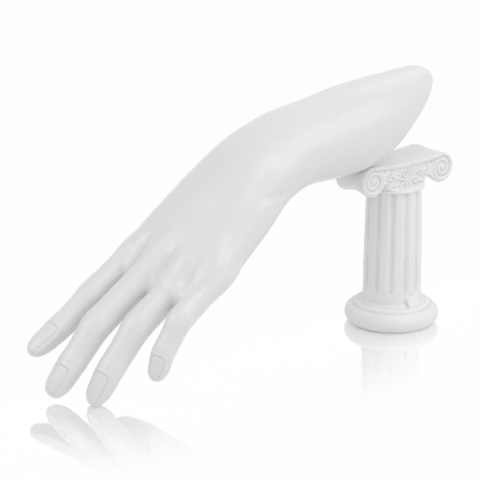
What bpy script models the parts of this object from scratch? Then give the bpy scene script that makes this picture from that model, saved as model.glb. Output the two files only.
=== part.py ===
"""Hand jewellery stand: a cast hand and forearm laid over a small Ionic column.

Units are metres and +Z is up. The origin is the centre of the column's foot, on the table.
The arm runs along X: its fingers reach towards -X and rest on the table, and its blunt end
passes over the column. +Y is the thumb side. Both castings are one piece each.
"""

import math

import bmesh
import bpy
import numpy as np
from mathutils import Matrix, Vector
from mathutils.bvhtree import BVHTree

MM = 0.001

# The column's turned foot.
BASE_RADIUS = 28.0 * MM
BASE_FOOT_RADIUS = 25.6 * MM
TORUS_HEIGHT = 11.6 * MM
LEDGE_RADIUS = 22.8 * MM
LEDGE_HEIGHT = 1.6 * MM
TONGUE_WIDTH = 8.0 * MM
TONGUE_REACH = 3.6 * MM
TONGUE_RISE = 6.5 * MM
TONGUE_BEARING = math.radians(-90.0)

# The shaft and its flutes.
SHAFT_RADIUS = 17.4 * MM
SHAFT_NECK_RADIUS = 16.4 * MM
FLUTES = 12
FLUTE_WIDTH = 4.4 * MM
FLUTE_DEPTH = 1.1 * MM
FLUTE_FOOT_GAP = 6.5 * MM

# The capital. The slab on top sags between its two ends.
COLUMN_HEIGHT = 100.4 * MM
SLAB_LENGTH = 54.0 * MM
SLAB_DEPTH = 27.2 * MM
SLAB_THICKNESS = 2.4 * MM
SLAB_SAG = 1.5 * MM
FASCIA_INSET = 0.7 * MM
CHANNEL_HEIGHT = 7.0 * MM
CHANNEL_DEPTH = 22.4 * MM
VOLUTE_RADIUS = 9.1 * MM
VOLUTE_SPACING = 53.4 * MM
VOLUTE_WAIST = 7.4 * MM
VOLUTE_DEPTH = 23.6 * MM
VOLUTE_DROP = 0.1 * MM
VOLUTE_TURNS = 2.25
VOLUTE_RIDGE = 0.8 * MM
EYE_RADIUS = 1.4 * MM
ECHINUS_BULGE = 2.0 * MM
ECHINUS_HEIGHT = 13.0 * MM
PANEL_DEPTH = 24.6 * MM
ASTRAGAL_RADIUS = 0.9 * MM
LEAF_RELIEF = 0.8 * MM
BUD_RADIUS = 1.7 * MM

# The fan of leaves in the middle of the carved panel.
FAN_LEAVES = 5
FAN_SPREAD = math.radians(60)
FAN_HALF_WIDTH = 4.4 * MM
FAN_RISE = 3.1 * MM
FAN_LEAF_LENGTH = 5.2 * MM
FAN_LEAF_WIDTH = 1.6 * MM

# The leaves on each side of the fan, in mm and degrees: distance from the panel's middle,
# height above it, lean, length and width. The bud has only a place.
SIDE_LEAVES = (
    (2.1, -3.6, 150.0, 5.0, 1.8),
    (9.2, -1.4, 62.0, 6.4, 1.9),
    (8.2, -4.4, 78.0, 5.4, 1.6),
)
BUD_OUT = 11.0 * MM
BUD_UP = 2.6 * MM

# The arm casting: how it beds on the capital and on the table, and how it is fused and softened.
# The seat runs over the slab and most of each roll.
SEAT_HALF_LENGTH = VOLUTE_SPACING / 2 + 0.85 * VOLUTE_RADIUS
SEAT_CLEARANCE = 0.3 * MM
SEAT_BEDDING = 0.8 * MM
TIP_FLAT = 0.25 * MM
VOXEL = 1.0 * MM
SMOOTH_PASSES = 14
WEB_PASSES = 40
WEB_REACH = 9.0 * MM
THUMB_WEB_REACH = 17.0 * MM
ARM_TRIANGLES = 4000
NAIL_START = 2.34
NAIL_END = 2.93
NAIL_SPREAD = math.radians(56.0)
NAIL_GROOVE = 0.52 * MM
NAIL_GROOVE_RISE = 0.12 * MM

# Each row is one cross-section of the forearm and palm, from the blunt end to the finger webs:
# x, y, z of its centre, half width, half thickness, pitch and roll in degrees, squareness.
ARM_SECTIONS = (
    (23.6, 0.0, 147.8, 0.0, 0.0, 8.0, 0.0, 2.0),
    (23.1, 0.0, 147.7, 3.0, 2.4, 8.0, 0.0, 2.0),
    (21.2, 0.0, 147.4, 6.8, 5.2, 8.0, 0.0, 2.0),
    (17.2, 0.0, 146.2, 11.0, 8.2, 8.0, 0.0, 2.0),
    (8.0, 0.0, 141.6, 16.8, 12.6, 8.0, 0.0, 2.1),
    (-4.0, 0.0, 135.8, 21.4, 17.2, 8.0, 0.0, 2.1),
    (-18.0, 0.0, 130.0, 24.8, 22.0, 8.0, 0.0, 2.1),
    (-36.0, 0.0, 125.2, 26.4, 24.8, 8.0, 0.0, 2.1),
    (-60.0, 0.0, 121.9, 26.4, 23.6, 10.0, 2.0, 2.1),
    (-84.0, 0.5, 118.8, 26.6, 21.8, 20.0, 5.0, 2.1),
    (-104.0, 1.0, 110.6, 28.3, 20.4, 31.0, 8.0, 2.1),
    (-122.0, 1.5, 96.4, 31.6, 18.2, 37.0, 11.0, 2.2),
    (-138.0, 2.0, 82.8, 33.0, 15.6, 37.0, 13.0, 2.4),
    (-152.0, 2.0, 71.5, 34.0, 13.4, 37.0, 13.0, 2.6),
    (-164.0, 2.5, 61.5, 33.0, 11.0, 37.0, 13.0, 2.6),
    (-173.0, 3.0, 54.0, 28.0, 8.0, 37.0, 13.0, 2.4),
    (-178.0, 3.0, 49.8, 0.0, 0.0, 37.0, 13.0, 2.0),
)

# Each finger: knuckle centre, phalanx lengths, their pitches below level and their turn
# towards the thumb side in degrees, the breadth at its middle joint, and its roll.
FINGERS = {
    "index": ((-162.8, 28.4, 70.6), (38.0, 24.0, 25.0), (36.0, 38.0, 30.0), (6.0, 5.5, 2.5), 15.2, 16.0),
    "middle": ((-167.7, 10.5, 64.4), (45.0, 24.5, 21.5), (36.5, 52.0, 47.5), (4.0, 5.0, 2.5), 16.2, 18.0),
    "ring": ((-156.5, -8.5, 65.4), (42.0, 27.5, 22.5), (37.0, 53.5, 56.0), (4.0, 7.0, 5.0), 15.8, 22.0),
    "little": ((-148.5, -25.5, 64.8), (33.0, 19.0, 17.5), (35.0, 58.0, 69.0), (1.0, 3.0, 6.0), 13.4, 28.0),
    "thumb": ((-106.0, 14.0, 91.0), (41.0, 30.0, 25.0), (37.0, 38.0, 30.0), (35.0, 13.0, 1.0), 17.4, -50.0),
}

# Share of each phalanx, then half width and half thickness as shares of half the breadth.
# Shares below 0 run back into the palm.
FINGER_PROFILE = (
    (-0.40, 0.00, 0.00),
    (-0.36, 0.60, 0.55),
    (-0.20, 1.00, 0.90),
    (0.00, 1.12, 1.08),
    (0.50, 1.00, 1.02),
    (1.00, 1.02, 1.02),
    (1.50, 0.93, 0.93),
    (2.00, 0.93, 0.89),
    (2.35, 0.90, 0.82),
    (2.65, 0.82, 0.70),
    (2.85, 0.66, 0.52),
    (2.95, 0.44, 0.34),
    (3.00, 0.00, 0.00),
)


def link(obj, collection):
    """Moves a new object into the named collection."""
    for old in list(obj.users_collection):
        old.objects.unlink(obj)
    collection.objects.link(obj)
    return obj


def new_object(name, bm, collection):
    """An object that holds the bmesh."""
    mesh = bpy.data.meshes.new(name)
    bmesh.ops.recalc_face_normals(bm, faces=bm.faces)
    bm.to_mesh(mesh)
    bm.free()
    return link(bpy.data.objects.new(name, mesh), collection)


def smooth_between(keys, values, samples):
    """Catmull-Rom interpolation of rows of values, given at keys, at the samples."""
    keys = np.asarray(keys, float)
    values = np.asarray(values, float)
    slopes = np.gradient(values, keys, axis=0)
    out = []
    for s in samples:
        i = min(max(int(np.searchsorted(keys, s)) - 1, 0), len(keys) - 2)
        span = keys[i + 1] - keys[i]
        t = (s - keys[i]) / span
        out.append(
            (2 * t**3 - 3 * t**2 + 1) * values[i]
            + (t**3 - 2 * t**2 + t) * span * slopes[i]
            + (3 * t**2 - 2 * t**3) * values[i + 1]
            + (t**3 - t**2) * span * slopes[i + 1]
        )
    return np.array(out)


def ring_points(centre, across, up, half_width, half_height, squareness, sides):
    """Points of one superellipse in the plane of two unit vectors."""
    points = []
    for k in range(sides):
        angle = 2 * math.pi * k / sides
        c, s = math.cos(angle), math.sin(angle)
        x = math.copysign(abs(c) ** (2 / squareness), c) * half_width
        y = math.copysign(abs(s) ** (2 / squareness), s) * half_height
        points.append(centre + across * x + up * y)
    return points


def loft(bm, rings):
    """Skins rings of equal length. A first or last ring of no size becomes a pole."""
    made = []
    for ring in rings:
        if (ring[0] - ring[len(ring) // 2]).length < 0.05 * MM:
            made.append([bm.verts.new(ring[0])])
        else:
            made.append([bm.verts.new(p) for p in ring])
    for a, b in zip(made, made[1:]):
        sides = max(len(a), len(b))
        for k in range(sides):
            j = (k + 1) % sides
            if len(a) == 1:
                bm.faces.new((a[0], b[j], b[k]))
            elif len(b) == 1:
                bm.faces.new((a[k], a[j], b[0]))
            else:
                bm.faces.new((a[k], a[j], b[j], b[k]))
    for end in (made[0], made[-1]):
        if len(end) > 1:
            bm.faces.new(end)
    return made


def section_axes(pitch, roll, turn=0.0):
    """Direction, across and up vectors of a section that faces -X, pitched down, turned and rolled."""
    direction = Vector((-1, 0, 0))
    across = Vector((0, 1, 0))
    up = Vector((0, 0, 1))
    aimed = Matrix.Rotation(math.radians(-turn), 3, "Z") @ Matrix.Rotation(math.radians(-pitch), 3, "Y")
    rolled = aimed @ Matrix.Rotation(math.radians(roll), 3, "X")
    return aimed @ direction, rolled @ across, rolled @ up


def add_forearm_and_palm(bm):
    """The long body of the casting, from its blunt end to the webs."""
    table = np.array(ARM_SECTIONS, float)
    centres = table[:, :3]
    keys = np.concatenate([[0], np.cumsum(np.linalg.norm(np.diff(centres, axis=0), axis=1))])
    samples = np.unique(np.concatenate([keys, np.arange(0, keys[-1], 3.0)]))
    rows = smooth_between(keys, table, samples)
    rings = []
    for x, y, z, half_width, half_height, pitch, roll, squareness in rows:
        _, across, up = section_axes(pitch, roll)
        rings.append(
            ring_points(
                Vector((x, y, z)) * MM,
                across,
                up,
                max(half_width, 0) * MM,
                max(half_height, 0) * MM,
                squareness,
                40,
            )
        )
    loft(bm, rings)


# The thumb's own profile: the ball of the thumb swells from the wrist and fills in to the palm.
THUMB_PROFILE = (
    (-0.40, 0.00, 0.00),
    (-0.36, 0.66, 0.66),
    (-0.20, 1.10, 1.10),
    (0.00, 1.30, 1.36),
    (0.40, 1.34, 1.52),
    (0.80, 1.12, 1.22),
    (1.05, 1.02, 1.06),
    (1.50, 0.92, 0.92),
    (2.00, 1.00, 0.90),
    (2.35, 0.98, 0.84),
    (2.65, 0.88, 0.72),
    (2.85, 0.70, 0.54),
    (2.95, 0.46, 0.36),
    (3.00, 0.00, 0.00),
)


def finger_frames(name):
    """Samples along one finger: share, centre, across, up, half width and half thickness."""
    knuckle, lengths, pitches, turns, breadth, roll = FINGERS[name]
    joints = [Vector(knuckle) * MM]
    for length, pitch, turn in zip(lengths, pitches, turns):
        direction, _, _ = section_axes(pitch, 0.0, turn)
        joints.append(joints[-1] + direction * length * MM)
    bend_keys = (-0.4, 0.5, 1.5, 2.5, 3)
    bends = np.array([(pitches[i], turns[i]) for i in (0, 0, 1, 2, 2)], float)
    samples = [-0.4, -0.39, -0.36, -0.3, -0.2, -0.1] + [i / 12 for i in range(34)]
    samples += [2.82, 2.88, 2.93, 2.97, 2.99, 3.0]
    shape = np.array(THUMB_PROFILE if name == "thumb" else FINGER_PROFILE)
    profile = smooth_between(shape[:, 0], shape[:, 1:], samples)
    frames = []
    for share, (wide, thick) in zip(samples, profile):
        i = min(max(int(share), 0), 2)
        straight = joints[i].lerp(joints[i + 1], share - i)
        pitch, turn = smooth_between(bend_keys, bends, [share])[0]
        _, across, up = section_axes(pitch, roll, turn)
        half = breadth / 2 * MM
        frames.append([straight, across, up, max(wide, 0) * half, max(thick, 0) * half])
    centres = np.array([f[0] for f in frames])
    for _ in range(6):
        centres[1:-1] = (centres[:-2] + 2 * centres[1:-1] + centres[2:]) / 4
    for frame, centre in zip(frames, centres):
        frame[0] = Vector(centre)
    return samples, frames


def add_finger(bm, name):
    """One finger as a tapering tube with swollen joints and a rounded tip."""
    _, frames = finger_frames(name)
    loft(bm, [ring_points(centre, across, up, wide, thick, 2.15, 24) for centre, across, up, wide, thick in frames])


def evaluated_copy(obj):
    """A plain mesh of the object with its modifiers applied."""
    depsgraph = bpy.context.evaluated_depsgraph_get()
    return bpy.data.meshes.new_from_object(obj.evaluated_get(depsgraph), depsgraph=depsgraph)


def cut_or_join(target, other, operation, overlapping=False):
    """Boolean modifier with a helper object that itself isn't rendered."""
    modifier = target.modifiers.new(other.name, "BOOLEAN")
    modifier.solver = "EXACT"
    modifier.operation = operation
    modifier.object = other
    modifier.use_self = overlapping
    other.hide_render = True
    other.display_type = "WIRE"


def web_points():
    """The places where neighbouring fingers part and where the thumb leaves the palm, with their reach."""
    samples, frames = finger_frames("thumb")
    root, wrist = frames[samples.index(0.25)][0], frames[samples.index(-0.3)][0]
    places = [(root, THUMB_WEB_REACH), (wrist, THUMB_WEB_REACH)]
    names = ("index", "middle", "ring", "little")
    for a, b in zip(names, names[1:]):
        roots = []
        for name in (a, b):
            samples, frames = finger_frames(name)
            roots.append(frames[samples.index(0.25)][0])
        places.append(((roots[0] + roots[1]) / 2, WEB_REACH))
    return places


def slab_height(x):
    """Height of the slab's top above the table at x: lowest in the middle."""
    return COLUMN_HEIGHT + SLAB_SAG * (2 * x / SLAB_LENGTH) ** 2


def top_height(x, clearance=0.0):
    """Height of the capital's top at x: the slab, and beyond its ends the rolls."""
    from_roll = abs(x) - VOLUTE_SPACING / 2
    roll = VOLUTE_RADIUS + clearance
    if abs(x) <= SLAB_LENGTH / 2 + clearance or abs(from_roll) >= roll:
        return slab_height(x) + clearance
    return volute_height() + math.sqrt(roll ** 2 - from_roll ** 2)


def bed_on_slab_and_table(points):
    """Tilts and lifts the arm until its tips and its underside both bed as named."""

    def tilted(angle):
        moved = points @ np.array(Matrix.Rotation(angle, 3, "Y")).T
        moved[:, 2] -= moved[:, 2].min() + TIP_FLAT
        return moved

    def sunk(moved):
        over = (np.abs(moved[:, 0]) < SEAT_HALF_LENGTH) & (np.abs(moved[:, 1]) < SLAB_DEPTH / 2)
        return max(top_height(x) - z for x, z in moved[over][:, (0, 2)]) - SEAT_BEDDING

    low, high = math.radians(-20), math.radians(20)
    for _ in range(24):
        middle = (low + high) / 2
        if sunk(tilted(middle)) > 0:
            high = middle
        else:
            low = middle
    return tilted((low + high) / 2), (low + high) / 2


def nail_ring(name, surface, turn):
    """Points of the oval groove round one nail, found on the fused surface."""
    samples, frames = finger_frames(name)
    points = []
    for k in range(16):
        around = 2 * math.pi * k / 16
        share = (NAIL_START + NAIL_END) / 2 - (NAIL_END - NAIL_START) / 2 * math.cos(around)
        side = NAIL_SPREAD * math.sin(around)
        i = min(max(int(np.searchsorted(samples, share)) - 1, 0), len(samples) - 2)
        t = (share - samples[i]) / (samples[i + 1] - samples[i])
        centre = frames[i][0].lerp(frames[i + 1][0], t)
        outward = frames[i][2] * math.cos(side) + frames[i][1] * math.sin(side)
        centre, outward = turn @ centre, turn.to_3x3() @ outward
        hit, _, _, _ = surface.ray_cast(centre, outward)
        if hit is not None:
            points.append(hit + outward * NAIL_GROOVE_RISE)
    return points


def tube(name, paths, radius, sides, closed, collection):
    """Round bars along paths, made from a bevelled curve."""
    curve = bpy.data.curves.new(name, "CURVE")
    curve.dimensions = "3D"
    curve.bevel_depth = radius
    curve.bevel_resolution = max(sides // 2 - 2, 0)
    curve.use_fill_caps = not closed
    for path in paths:
        spline = curve.splines.new("POLY")
        spline.points.add(len(path) - 1)
        for point, place in zip(spline.points, path):
            point.co = (*place, 1.0)
        spline.use_cyclic_u = closed
    source = link(bpy.data.objects.new(name, curve), collection)
    mesh = evaluated_copy(source)
    bpy.data.objects.remove(source, do_unlink=True)
    bm = bmesh.new()
    bm.from_mesh(mesh)
    bpy.data.meshes.remove(mesh)
    bmesh.ops.remove_doubles(bm, verts=bm.verts, dist=0.00001)
    return new_object(name, bm, collection)


def build_arm(parts, helpers):
    """The hand and forearm: overlapping forms fused by a voxel remesh, softened, bedded and cut."""
    bm = bmesh.new()
    add_forearm_and_palm(bm)
    for name in FINGERS:
        add_finger(bm, name)
    arm = new_object("hand_and_forearm", bm, parts)
    fuse = arm.modifiers.new("fuse", "REMESH")
    fuse.mode = "VOXEL"
    fuse.voxel_size = VOXEL
    soften = arm.modifiers.new("soften", "SMOOTH")
    soften.factor = 0.5
    soften.iterations = SMOOTH_PASSES
    fused = evaluated_copy(arm)
    arm.modifiers.clear()
    points = np.array([v.co for v in fused.vertices])
    nearness = np.max([1 - np.linalg.norm(points - np.array(w), axis=1) / r for w, r in web_points()], axis=0)
    bedded, angle = bed_on_slab_and_table(points)
    lift = bedded[0, 2] - (points @ np.array(Matrix.Rotation(angle, 3, "Y")).T)[0, 2]
    turn = Matrix.Translation((0, 0, lift)) @ Matrix.Rotation(angle, 4, "Y")
    fused.vertices.foreach_set("co", bedded.ravel())
    arm.data = fused
    webs = arm.vertex_groups.new(name="webs")
    for i in np.nonzero(nearness > 0)[0]:
        webs.add([int(i)], float(nearness[i]), "REPLACE")
    fill = arm.modifiers.new("fill_webs", "SMOOTH")
    fill.factor = 0.5
    fill.iterations = WEB_PASSES
    fill.vertex_group = webs.name
    thin = arm.modifiers.new("thin", "DECIMATE")
    thin.ratio = ARM_TRIANGLES / (2 * len(fused.vertices))
    surface = BVHTree.FromObject(arm, bpy.context.evaluated_depsgraph_get())
    rings = [nail_ring(name, surface, turn) for name in FINGERS]
    grooves = tube("nail_grooves", rings, NAIL_GROOVE, 4, True, helpers)
    cut_or_join(arm, grooves, "DIFFERENCE")
    half = SEAT_HALF_LENGTH
    top = [(half * (i / 12 - 1), top_height(half * (i / 12 - 1), SEAT_CLEARANCE)) for i in range(25)]
    low = COLUMN_HEIGHT - VOLUTE_RADIUS
    outline = top + [(top[-1][0], low), (top[0][0], low)]
    seat = prism("arm_seat", outline, SLAB_DEPTH / 2 + SEAT_CLEARANCE, helpers)
    cut_or_join(arm, seat, "DIFFERENCE")
    span = -2 * ARM_SECTIONS[-1][0] * MM
    table = prism("table_plane", [(-2 * span, 0), (span, 0), (span, -span), (-2 * span, -span)], span, helpers)
    cut_or_join(arm, table, "DIFFERENCE")
    return arm


def slab_stations(margin=0.0):
    """The x positions at which the sagging slab is sampled, left to right."""
    half = SLAB_LENGTH / 2 + margin
    return [half * (i / 4 - 1) for i in range(9)]


def prism(name, outline, half_depth, collection, round_edges=0.0):
    """An outline in X and Z, extruded both ways along Y."""
    bm = bmesh.new()
    face = bm.faces.new([bm.verts.new((x, -half_depth, z)) for x, z in outline])
    made = bmesh.ops.extrude_face_region(bm, geom=[face])
    moved = [v for v in made["geom"] if isinstance(v, bmesh.types.BMVert)]
    bmesh.ops.translate(bm, verts=moved, vec=(0, 2 * half_depth, 0))
    obj = new_object(name, bm, collection)
    if round_edges:
        soft = obj.modifiers.new("soft_edges", "BEVEL")
        soft.width = round_edges
        soft.segments = 1
        soft.limit_method = "ANGLE"
        soft.angle_limit = math.radians(50)
    return obj


def turned(name, profile, steps, axis, collection):
    """A profile of radii and heights, screwed once round the axis."""
    bm = bmesh.new()
    if axis == "Z":
        points = [bm.verts.new((r, 0, h)) for r, h in profile]
    else:
        points = [bm.verts.new((r, h, 0)) for r, h in profile]
    for a, b in zip(points, points[1:]):
        bm.edges.new((a, b))
    mesh = bpy.data.meshes.new(name)
    bm.to_mesh(mesh)
    bm.free()
    obj = link(bpy.data.objects.new(name, mesh), collection)
    screw = obj.modifiers.new("turn", "SCREW")
    screw.axis = axis
    screw.steps = steps
    screw.render_steps = steps
    screw.use_merge_vertices = True
    screw.merge_threshold = 0.00001
    return obj


def bead(centre_r, centre_h, radius, start, end, count):
    """Points of a round moulding in a profile, from one angle to the other in degrees."""
    angles = [math.radians(start + (end - start) * i / (count - 1)) for i in range(count)]
    return [(centre_r + radius * math.cos(a), centre_h + radius * math.sin(a)) for a in angles]


def neck_height():
    """Height of the shaft's top, where the ring under the capital sits."""
    return slab_height(0) - SLAB_THICKNESS - ECHINUS_HEIGHT - 2 * ASTRAGAL_RADIUS


def column_profile():
    """Outer side of the column from the hidden top of the echinus down to the foot."""
    neck = neck_height()
    echinus_foot = neck + 2 * ASTRAGAL_RADIUS
    echinus_top = echinus_foot + ECHINUS_HEIGHT - 1.0 * MM
    ledge_top = TORUS_HEIGHT + LEDGE_HEIGHT
    shaft_foot = ledge_top + 1.4 * MM
    profile = [(0, echinus_top)]
    for share, bulge in ((0, 0.7), (0.35, 1.0), (0.65, 0.85), (0.88, 0.4), (1, 0)):
        radius = SHAFT_RADIUS + ECHINUS_BULGE * bulge
        profile.append((radius, echinus_top + (echinus_foot - echinus_top) * share))
    profile += bead(SHAFT_NECK_RADIUS + 0.7 * MM, neck + ASTRAGAL_RADIUS, ASTRAGAL_RADIUS, 60, -60, 3)
    for i in range(4):
        t = i / 3
        radius = SHAFT_NECK_RADIUS + (SHAFT_RADIUS - SHAFT_NECK_RADIUS) * math.sin(t * math.pi / 2)
        profile.append((radius, neck + (shaft_foot + 2.5 * MM - neck) * t))
    profile += [
        (SHAFT_RADIUS + 0.3 * MM, shaft_foot + 0.8 * MM),
        (SHAFT_RADIUS + 1.3 * MM, shaft_foot - 0.3 * MM),
        (SHAFT_RADIUS + 2.2 * MM, ledge_top + 0.3 * MM),
        (LEDGE_RADIUS - 0.8 * MM, ledge_top),
        (LEDGE_RADIUS, ledge_top - 0.5 * MM),
        (LEDGE_RADIUS + 0.1 * MM, TORUS_HEIGHT),
    ]
    half = TORUS_HEIGHT / 2
    for i in range(1, 8):
        angle = math.radians(72 - 142 * i / 7)
        wide = BASE_RADIUS - half + half * math.cos(angle)
        profile.append((wide, half + half * math.sin(angle)))
    profile += [(BASE_FOOT_RADIUS, 0), (0, 0)]
    return profile


def flute_cutters(collection):
    """Round-bottomed bars, one for each flute, joined in one object."""
    bar = (FLUTE_WIDTH ** 2 / 4 + FLUTE_DEPTH ** 2) / (2 * FLUTE_DEPTH)
    foot = TORUS_HEIGHT + LEDGE_HEIGHT + FLUTE_FOOT_GAP
    top = neck_height() - 0.3 * MM
    bm = bmesh.new()
    for k in range(FLUTES):
        bearing = 2 * math.pi * (k + 0.5) / FLUTES
        out = Vector((math.cos(bearing), math.sin(bearing), 0))
        across = Vector((-out.y, out.x, 0))
        rings = []
        for height, share in ((0, 0.2), (0.8, 0.62), (2.6, 0.88), (6.0, 1.0)):
            rings.append((foot + height * MM, share))
        rings += [((foot + top) / 2, 1.0), (top, 1.0)]
        circles = []
        for height, share in rings:
            along = (height - foot) / (top - foot)
            shaft = SHAFT_RADIUS + (SHAFT_NECK_RADIUS - SHAFT_RADIUS) * along ** 2
            centre = out * (shaft + bar - FLUTE_DEPTH) + Vector((0, 0, height))
            circles.append(ring_points(centre, across, out, bar * share, bar * share, 2.0, 10))
        loft(bm, circles)
    return new_object("flutes", bm, collection)


def volute_spiral(side, face):
    """Centre line of one spiral ridge, from the top of its volute in to the eye."""
    centre_x = side * VOLUTE_SPACING / 2
    centre_z = volute_height()
    y = face * (VOLUTE_DEPTH / 2 + 0.12 * MM)
    count = int(VOLUTE_TURNS * 14)
    points = []
    for i in range(count + 1):
        t = i / count
        angle = math.pi / 2 - side * 2 * math.pi * VOLUTE_TURNS * t
        radius = (VOLUTE_RADIUS - VOLUTE_RIDGE) * (1 - t) + EYE_RADIUS * 0.6 * t
        points.append((centre_x + radius * math.cos(angle), y, centre_z + radius * math.sin(angle)))
    return points


def volute_height():
    """Height of the volute centres: their rims reach almost to the slab's top."""
    return slab_height(VOLUTE_SPACING / 2) - VOLUTE_RADIUS - VOLUTE_DROP


def bolster(side, collection):
    """The waisted roll between a front and a back volute."""
    half = VOLUTE_DEPTH / 2
    rows = (
        (0, half),
        (VOLUTE_RADIUS - 0.6 * MM, half),
        (VOLUTE_RADIUS, half - 0.6 * MM),
        (VOLUTE_RADIUS, half - 1.8 * MM),
        ((VOLUTE_RADIUS + VOLUTE_WAIST) / 2, half * 0.55),
        (VOLUTE_WAIST, half * 0.15),
    )
    profile = list(rows) + [(r, -h) for r, h in reversed(rows)]
    roll = turned("bolster_right" if side > 0 else "bolster_left", profile, 24, "Y", collection)
    roll.location = (side * VOLUTE_SPACING / 2, 0, volute_height())
    return roll


def add_leaf(bm, u, height, lean, length, width, face):
    """A pointed leaf with a ridge, lying on the carved panel of one face."""
    along = Vector((math.sin(lean), 0, math.cos(lean)))
    across = Vector((math.cos(lean), 0, -math.sin(lean)))
    centre = Vector((u, face * PANEL_DEPTH / 2, height))
    inside = Vector((0, -face * 0.55 * MM, 0))
    raised = Vector((0, face * LEAF_RELIEF, 0))
    points = [centre + inside + along * length * t for t in (-0.5, 0.5)]
    for side in (-1, 1):
        points.append(centre + inside - along * length * 0.12 + across * side * width / 2)
        points.append(centre + inside + along * length * 0.25 + across * side * width * 0.36)
    points += [centre + raised - along * length * 0.26, centre + raised + along * length * 0.22]
    made = bmesh.ops.convex_hull(bm, input=[bm.verts.new(p) for p in points])
    bmesh.ops.delete(bm, geom=[v for v in made["geom_interior"] if isinstance(v, bmesh.types.BMVert)], context="VERTS")


def carving(collection):
    """The fan of leaves on both faces of the panel, with a bud and two side leaves at each end."""
    middle = neck_height() + 2 * ASTRAGAL_RADIUS + ECHINUS_HEIGHT * 0.47
    bm = bmesh.new()
    for face in (-1, 1):
        for k in range(FAN_LEAVES):
            lean = FAN_SPREAD * (2 * k / (FAN_LEAVES - 1) - 1)
            out, rise = math.sin(lean) * FAN_HALF_WIDTH, math.cos(lean) * FAN_RISE
            add_leaf(bm, out, middle + rise, lean, FAN_LEAF_LENGTH, FAN_LEAF_WIDTH, face)
        for side in (-1, 1):
            for out, up, lean, length, width in SIDE_LEAVES:
                place = side * out * MM, middle + up * MM, side * math.radians(lean)
                add_leaf(bm, *place, length * MM, width * MM, face)
            centre = (side * BUD_OUT, face * (PANEL_DEPTH / 2 - 0.3 * BUD_RADIUS), middle + BUD_UP)
            place = Matrix.Translation(centre)
            bmesh.ops.create_uvsphere(bm, u_segments=8, v_segments=5, radius=BUD_RADIUS, matrix=place)
    return new_object("carving", bm, collection)


def panel_cutters(collection):
    """Two blocks that cut the echinus flat in front and behind, above its foot ring."""
    low = neck_height() + 2 * ASTRAGAL_RADIUS + 0.35 * MM
    bm = bmesh.new()
    reach = 2 * ECHINUS_HEIGHT
    for face in (-1, 1):
        centre = Vector((0, face * (PANEL_DEPTH + reach) / 2, low + reach / 2))
        size = Matrix.Diagonal((4 * SHAFT_RADIUS, reach, reach, 1))
        bmesh.ops.create_cube(bm, size=1.0, matrix=Matrix.Translation(centre) @ size)
    return new_object("panel_cutters", bm, collection)


def panel_block(collection):
    """The body of the carved panel, which reaches into both rolls beside the echinus."""
    top = volute_height() + VOLUTE_RADIUS - CHANNEL_HEIGHT + 1.0 * MM
    inside_roll = VOLUTE_SPACING / 2 - VOLUTE_RADIUS * 0.5
    beside_roll = VOLUTE_SPACING / 2 - VOLUTE_RADIUS * 0.94
    foot = neck_height() + 2 * ASTRAGAL_RADIUS + 1.0 * MM
    half = [(inside_roll, top), (inside_roll, volute_height()), (beside_roll, volute_height() - 3.0 * MM)]
    half.append((SHAFT_NECK_RADIUS - 3.0 * MM, foot))
    outline = half + [(-x, z) for x, z in reversed(half)]
    return prism("panel_block", outline, (PANEL_DEPTH / 2 + CHANNEL_DEPTH / 2) / 2, collection)


def tongue(collection):
    """The flared lower end of one rib of the shaft, standing on the ledge."""
    ledge_top = TORUS_HEIGHT + LEDGE_HEIGHT
    inner = SHAFT_RADIUS - 2 * MM
    half = TONGUE_WIDTH / 2
    side = (
        (inner, ledge_top - 0.6 * MM),
        (SHAFT_RADIUS + TONGUE_REACH, ledge_top - 0.6 * MM),
        (SHAFT_RADIUS + TONGUE_REACH - 0.4 * MM, ledge_top + 0.9 * MM),
        (SHAFT_RADIUS + 0.35 * MM, ledge_top + TONGUE_RISE),
        (inner, ledge_top + TONGUE_RISE + 1.0 * MM),
    )
    block = prism("tongue", side, half, collection)
    block.rotation_euler = (0, 0, TONGUE_BEARING)
    return block


def build_column(parts, helpers):
    """The fluted column with its capital, one solid casting."""
    column = turned("column", column_profile(), 36, "Z", parts)
    cut_or_join(column, flute_cutters(helpers), "DIFFERENCE")
    cut_or_join(column, panel_cutters(helpers), "DIFFERENCE")

    ends = VOLUTE_SPACING / 2
    stations = [ends * (i / 4 - 1) for i in range(9)]
    under = [(x, slab_height(x) - SLAB_THICKNESS + 0.2 * MM) for x in stations]
    low = volute_height() + VOLUTE_RADIUS - CHANNEL_HEIGHT
    belly = [(under[-1][0], low), (0, low - 0.8 * MM), (under[0][0], low)]
    channel = prism("channel", under + belly, CHANNEL_DEPTH / 2, helpers)
    cut_or_join(column, channel, "UNION")
    cut_or_join(column, panel_block(helpers), "UNION")
    for side in (-1, 1):
        cut_or_join(column, bolster(side, helpers), "UNION")

    step = SLAB_THICKNESS * 0.55
    for name, drop, thickness, inset in (("fascia", step, SLAB_THICKNESS - step, FASCIA_INSET), ("slab", 0, step, 0)):
        xs = slab_stations(-inset)
        top = [(x, slab_height(x) - drop + (0.1 * MM if drop else 0)) for x in xs]
        bottom = [(x, slab_height(x) - drop - thickness) for x in reversed(xs)]
        plate = prism(name, top + bottom, SLAB_DEPTH / 2 - inset, helpers, 0.35 * MM)
        cut_or_join(column, plate, "UNION")
    paths = [volute_spiral(side, face) for side in (-1, 1) for face in (-1, 1)]
    cut_or_join(column, tube("spirals", paths, VOLUTE_RIDGE, 4, False, helpers), "UNION")
    cut_or_join(column, carving(helpers), "UNION", overlapping=True)
    cut_or_join(column, tongue(helpers), "UNION")
    return column


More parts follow.
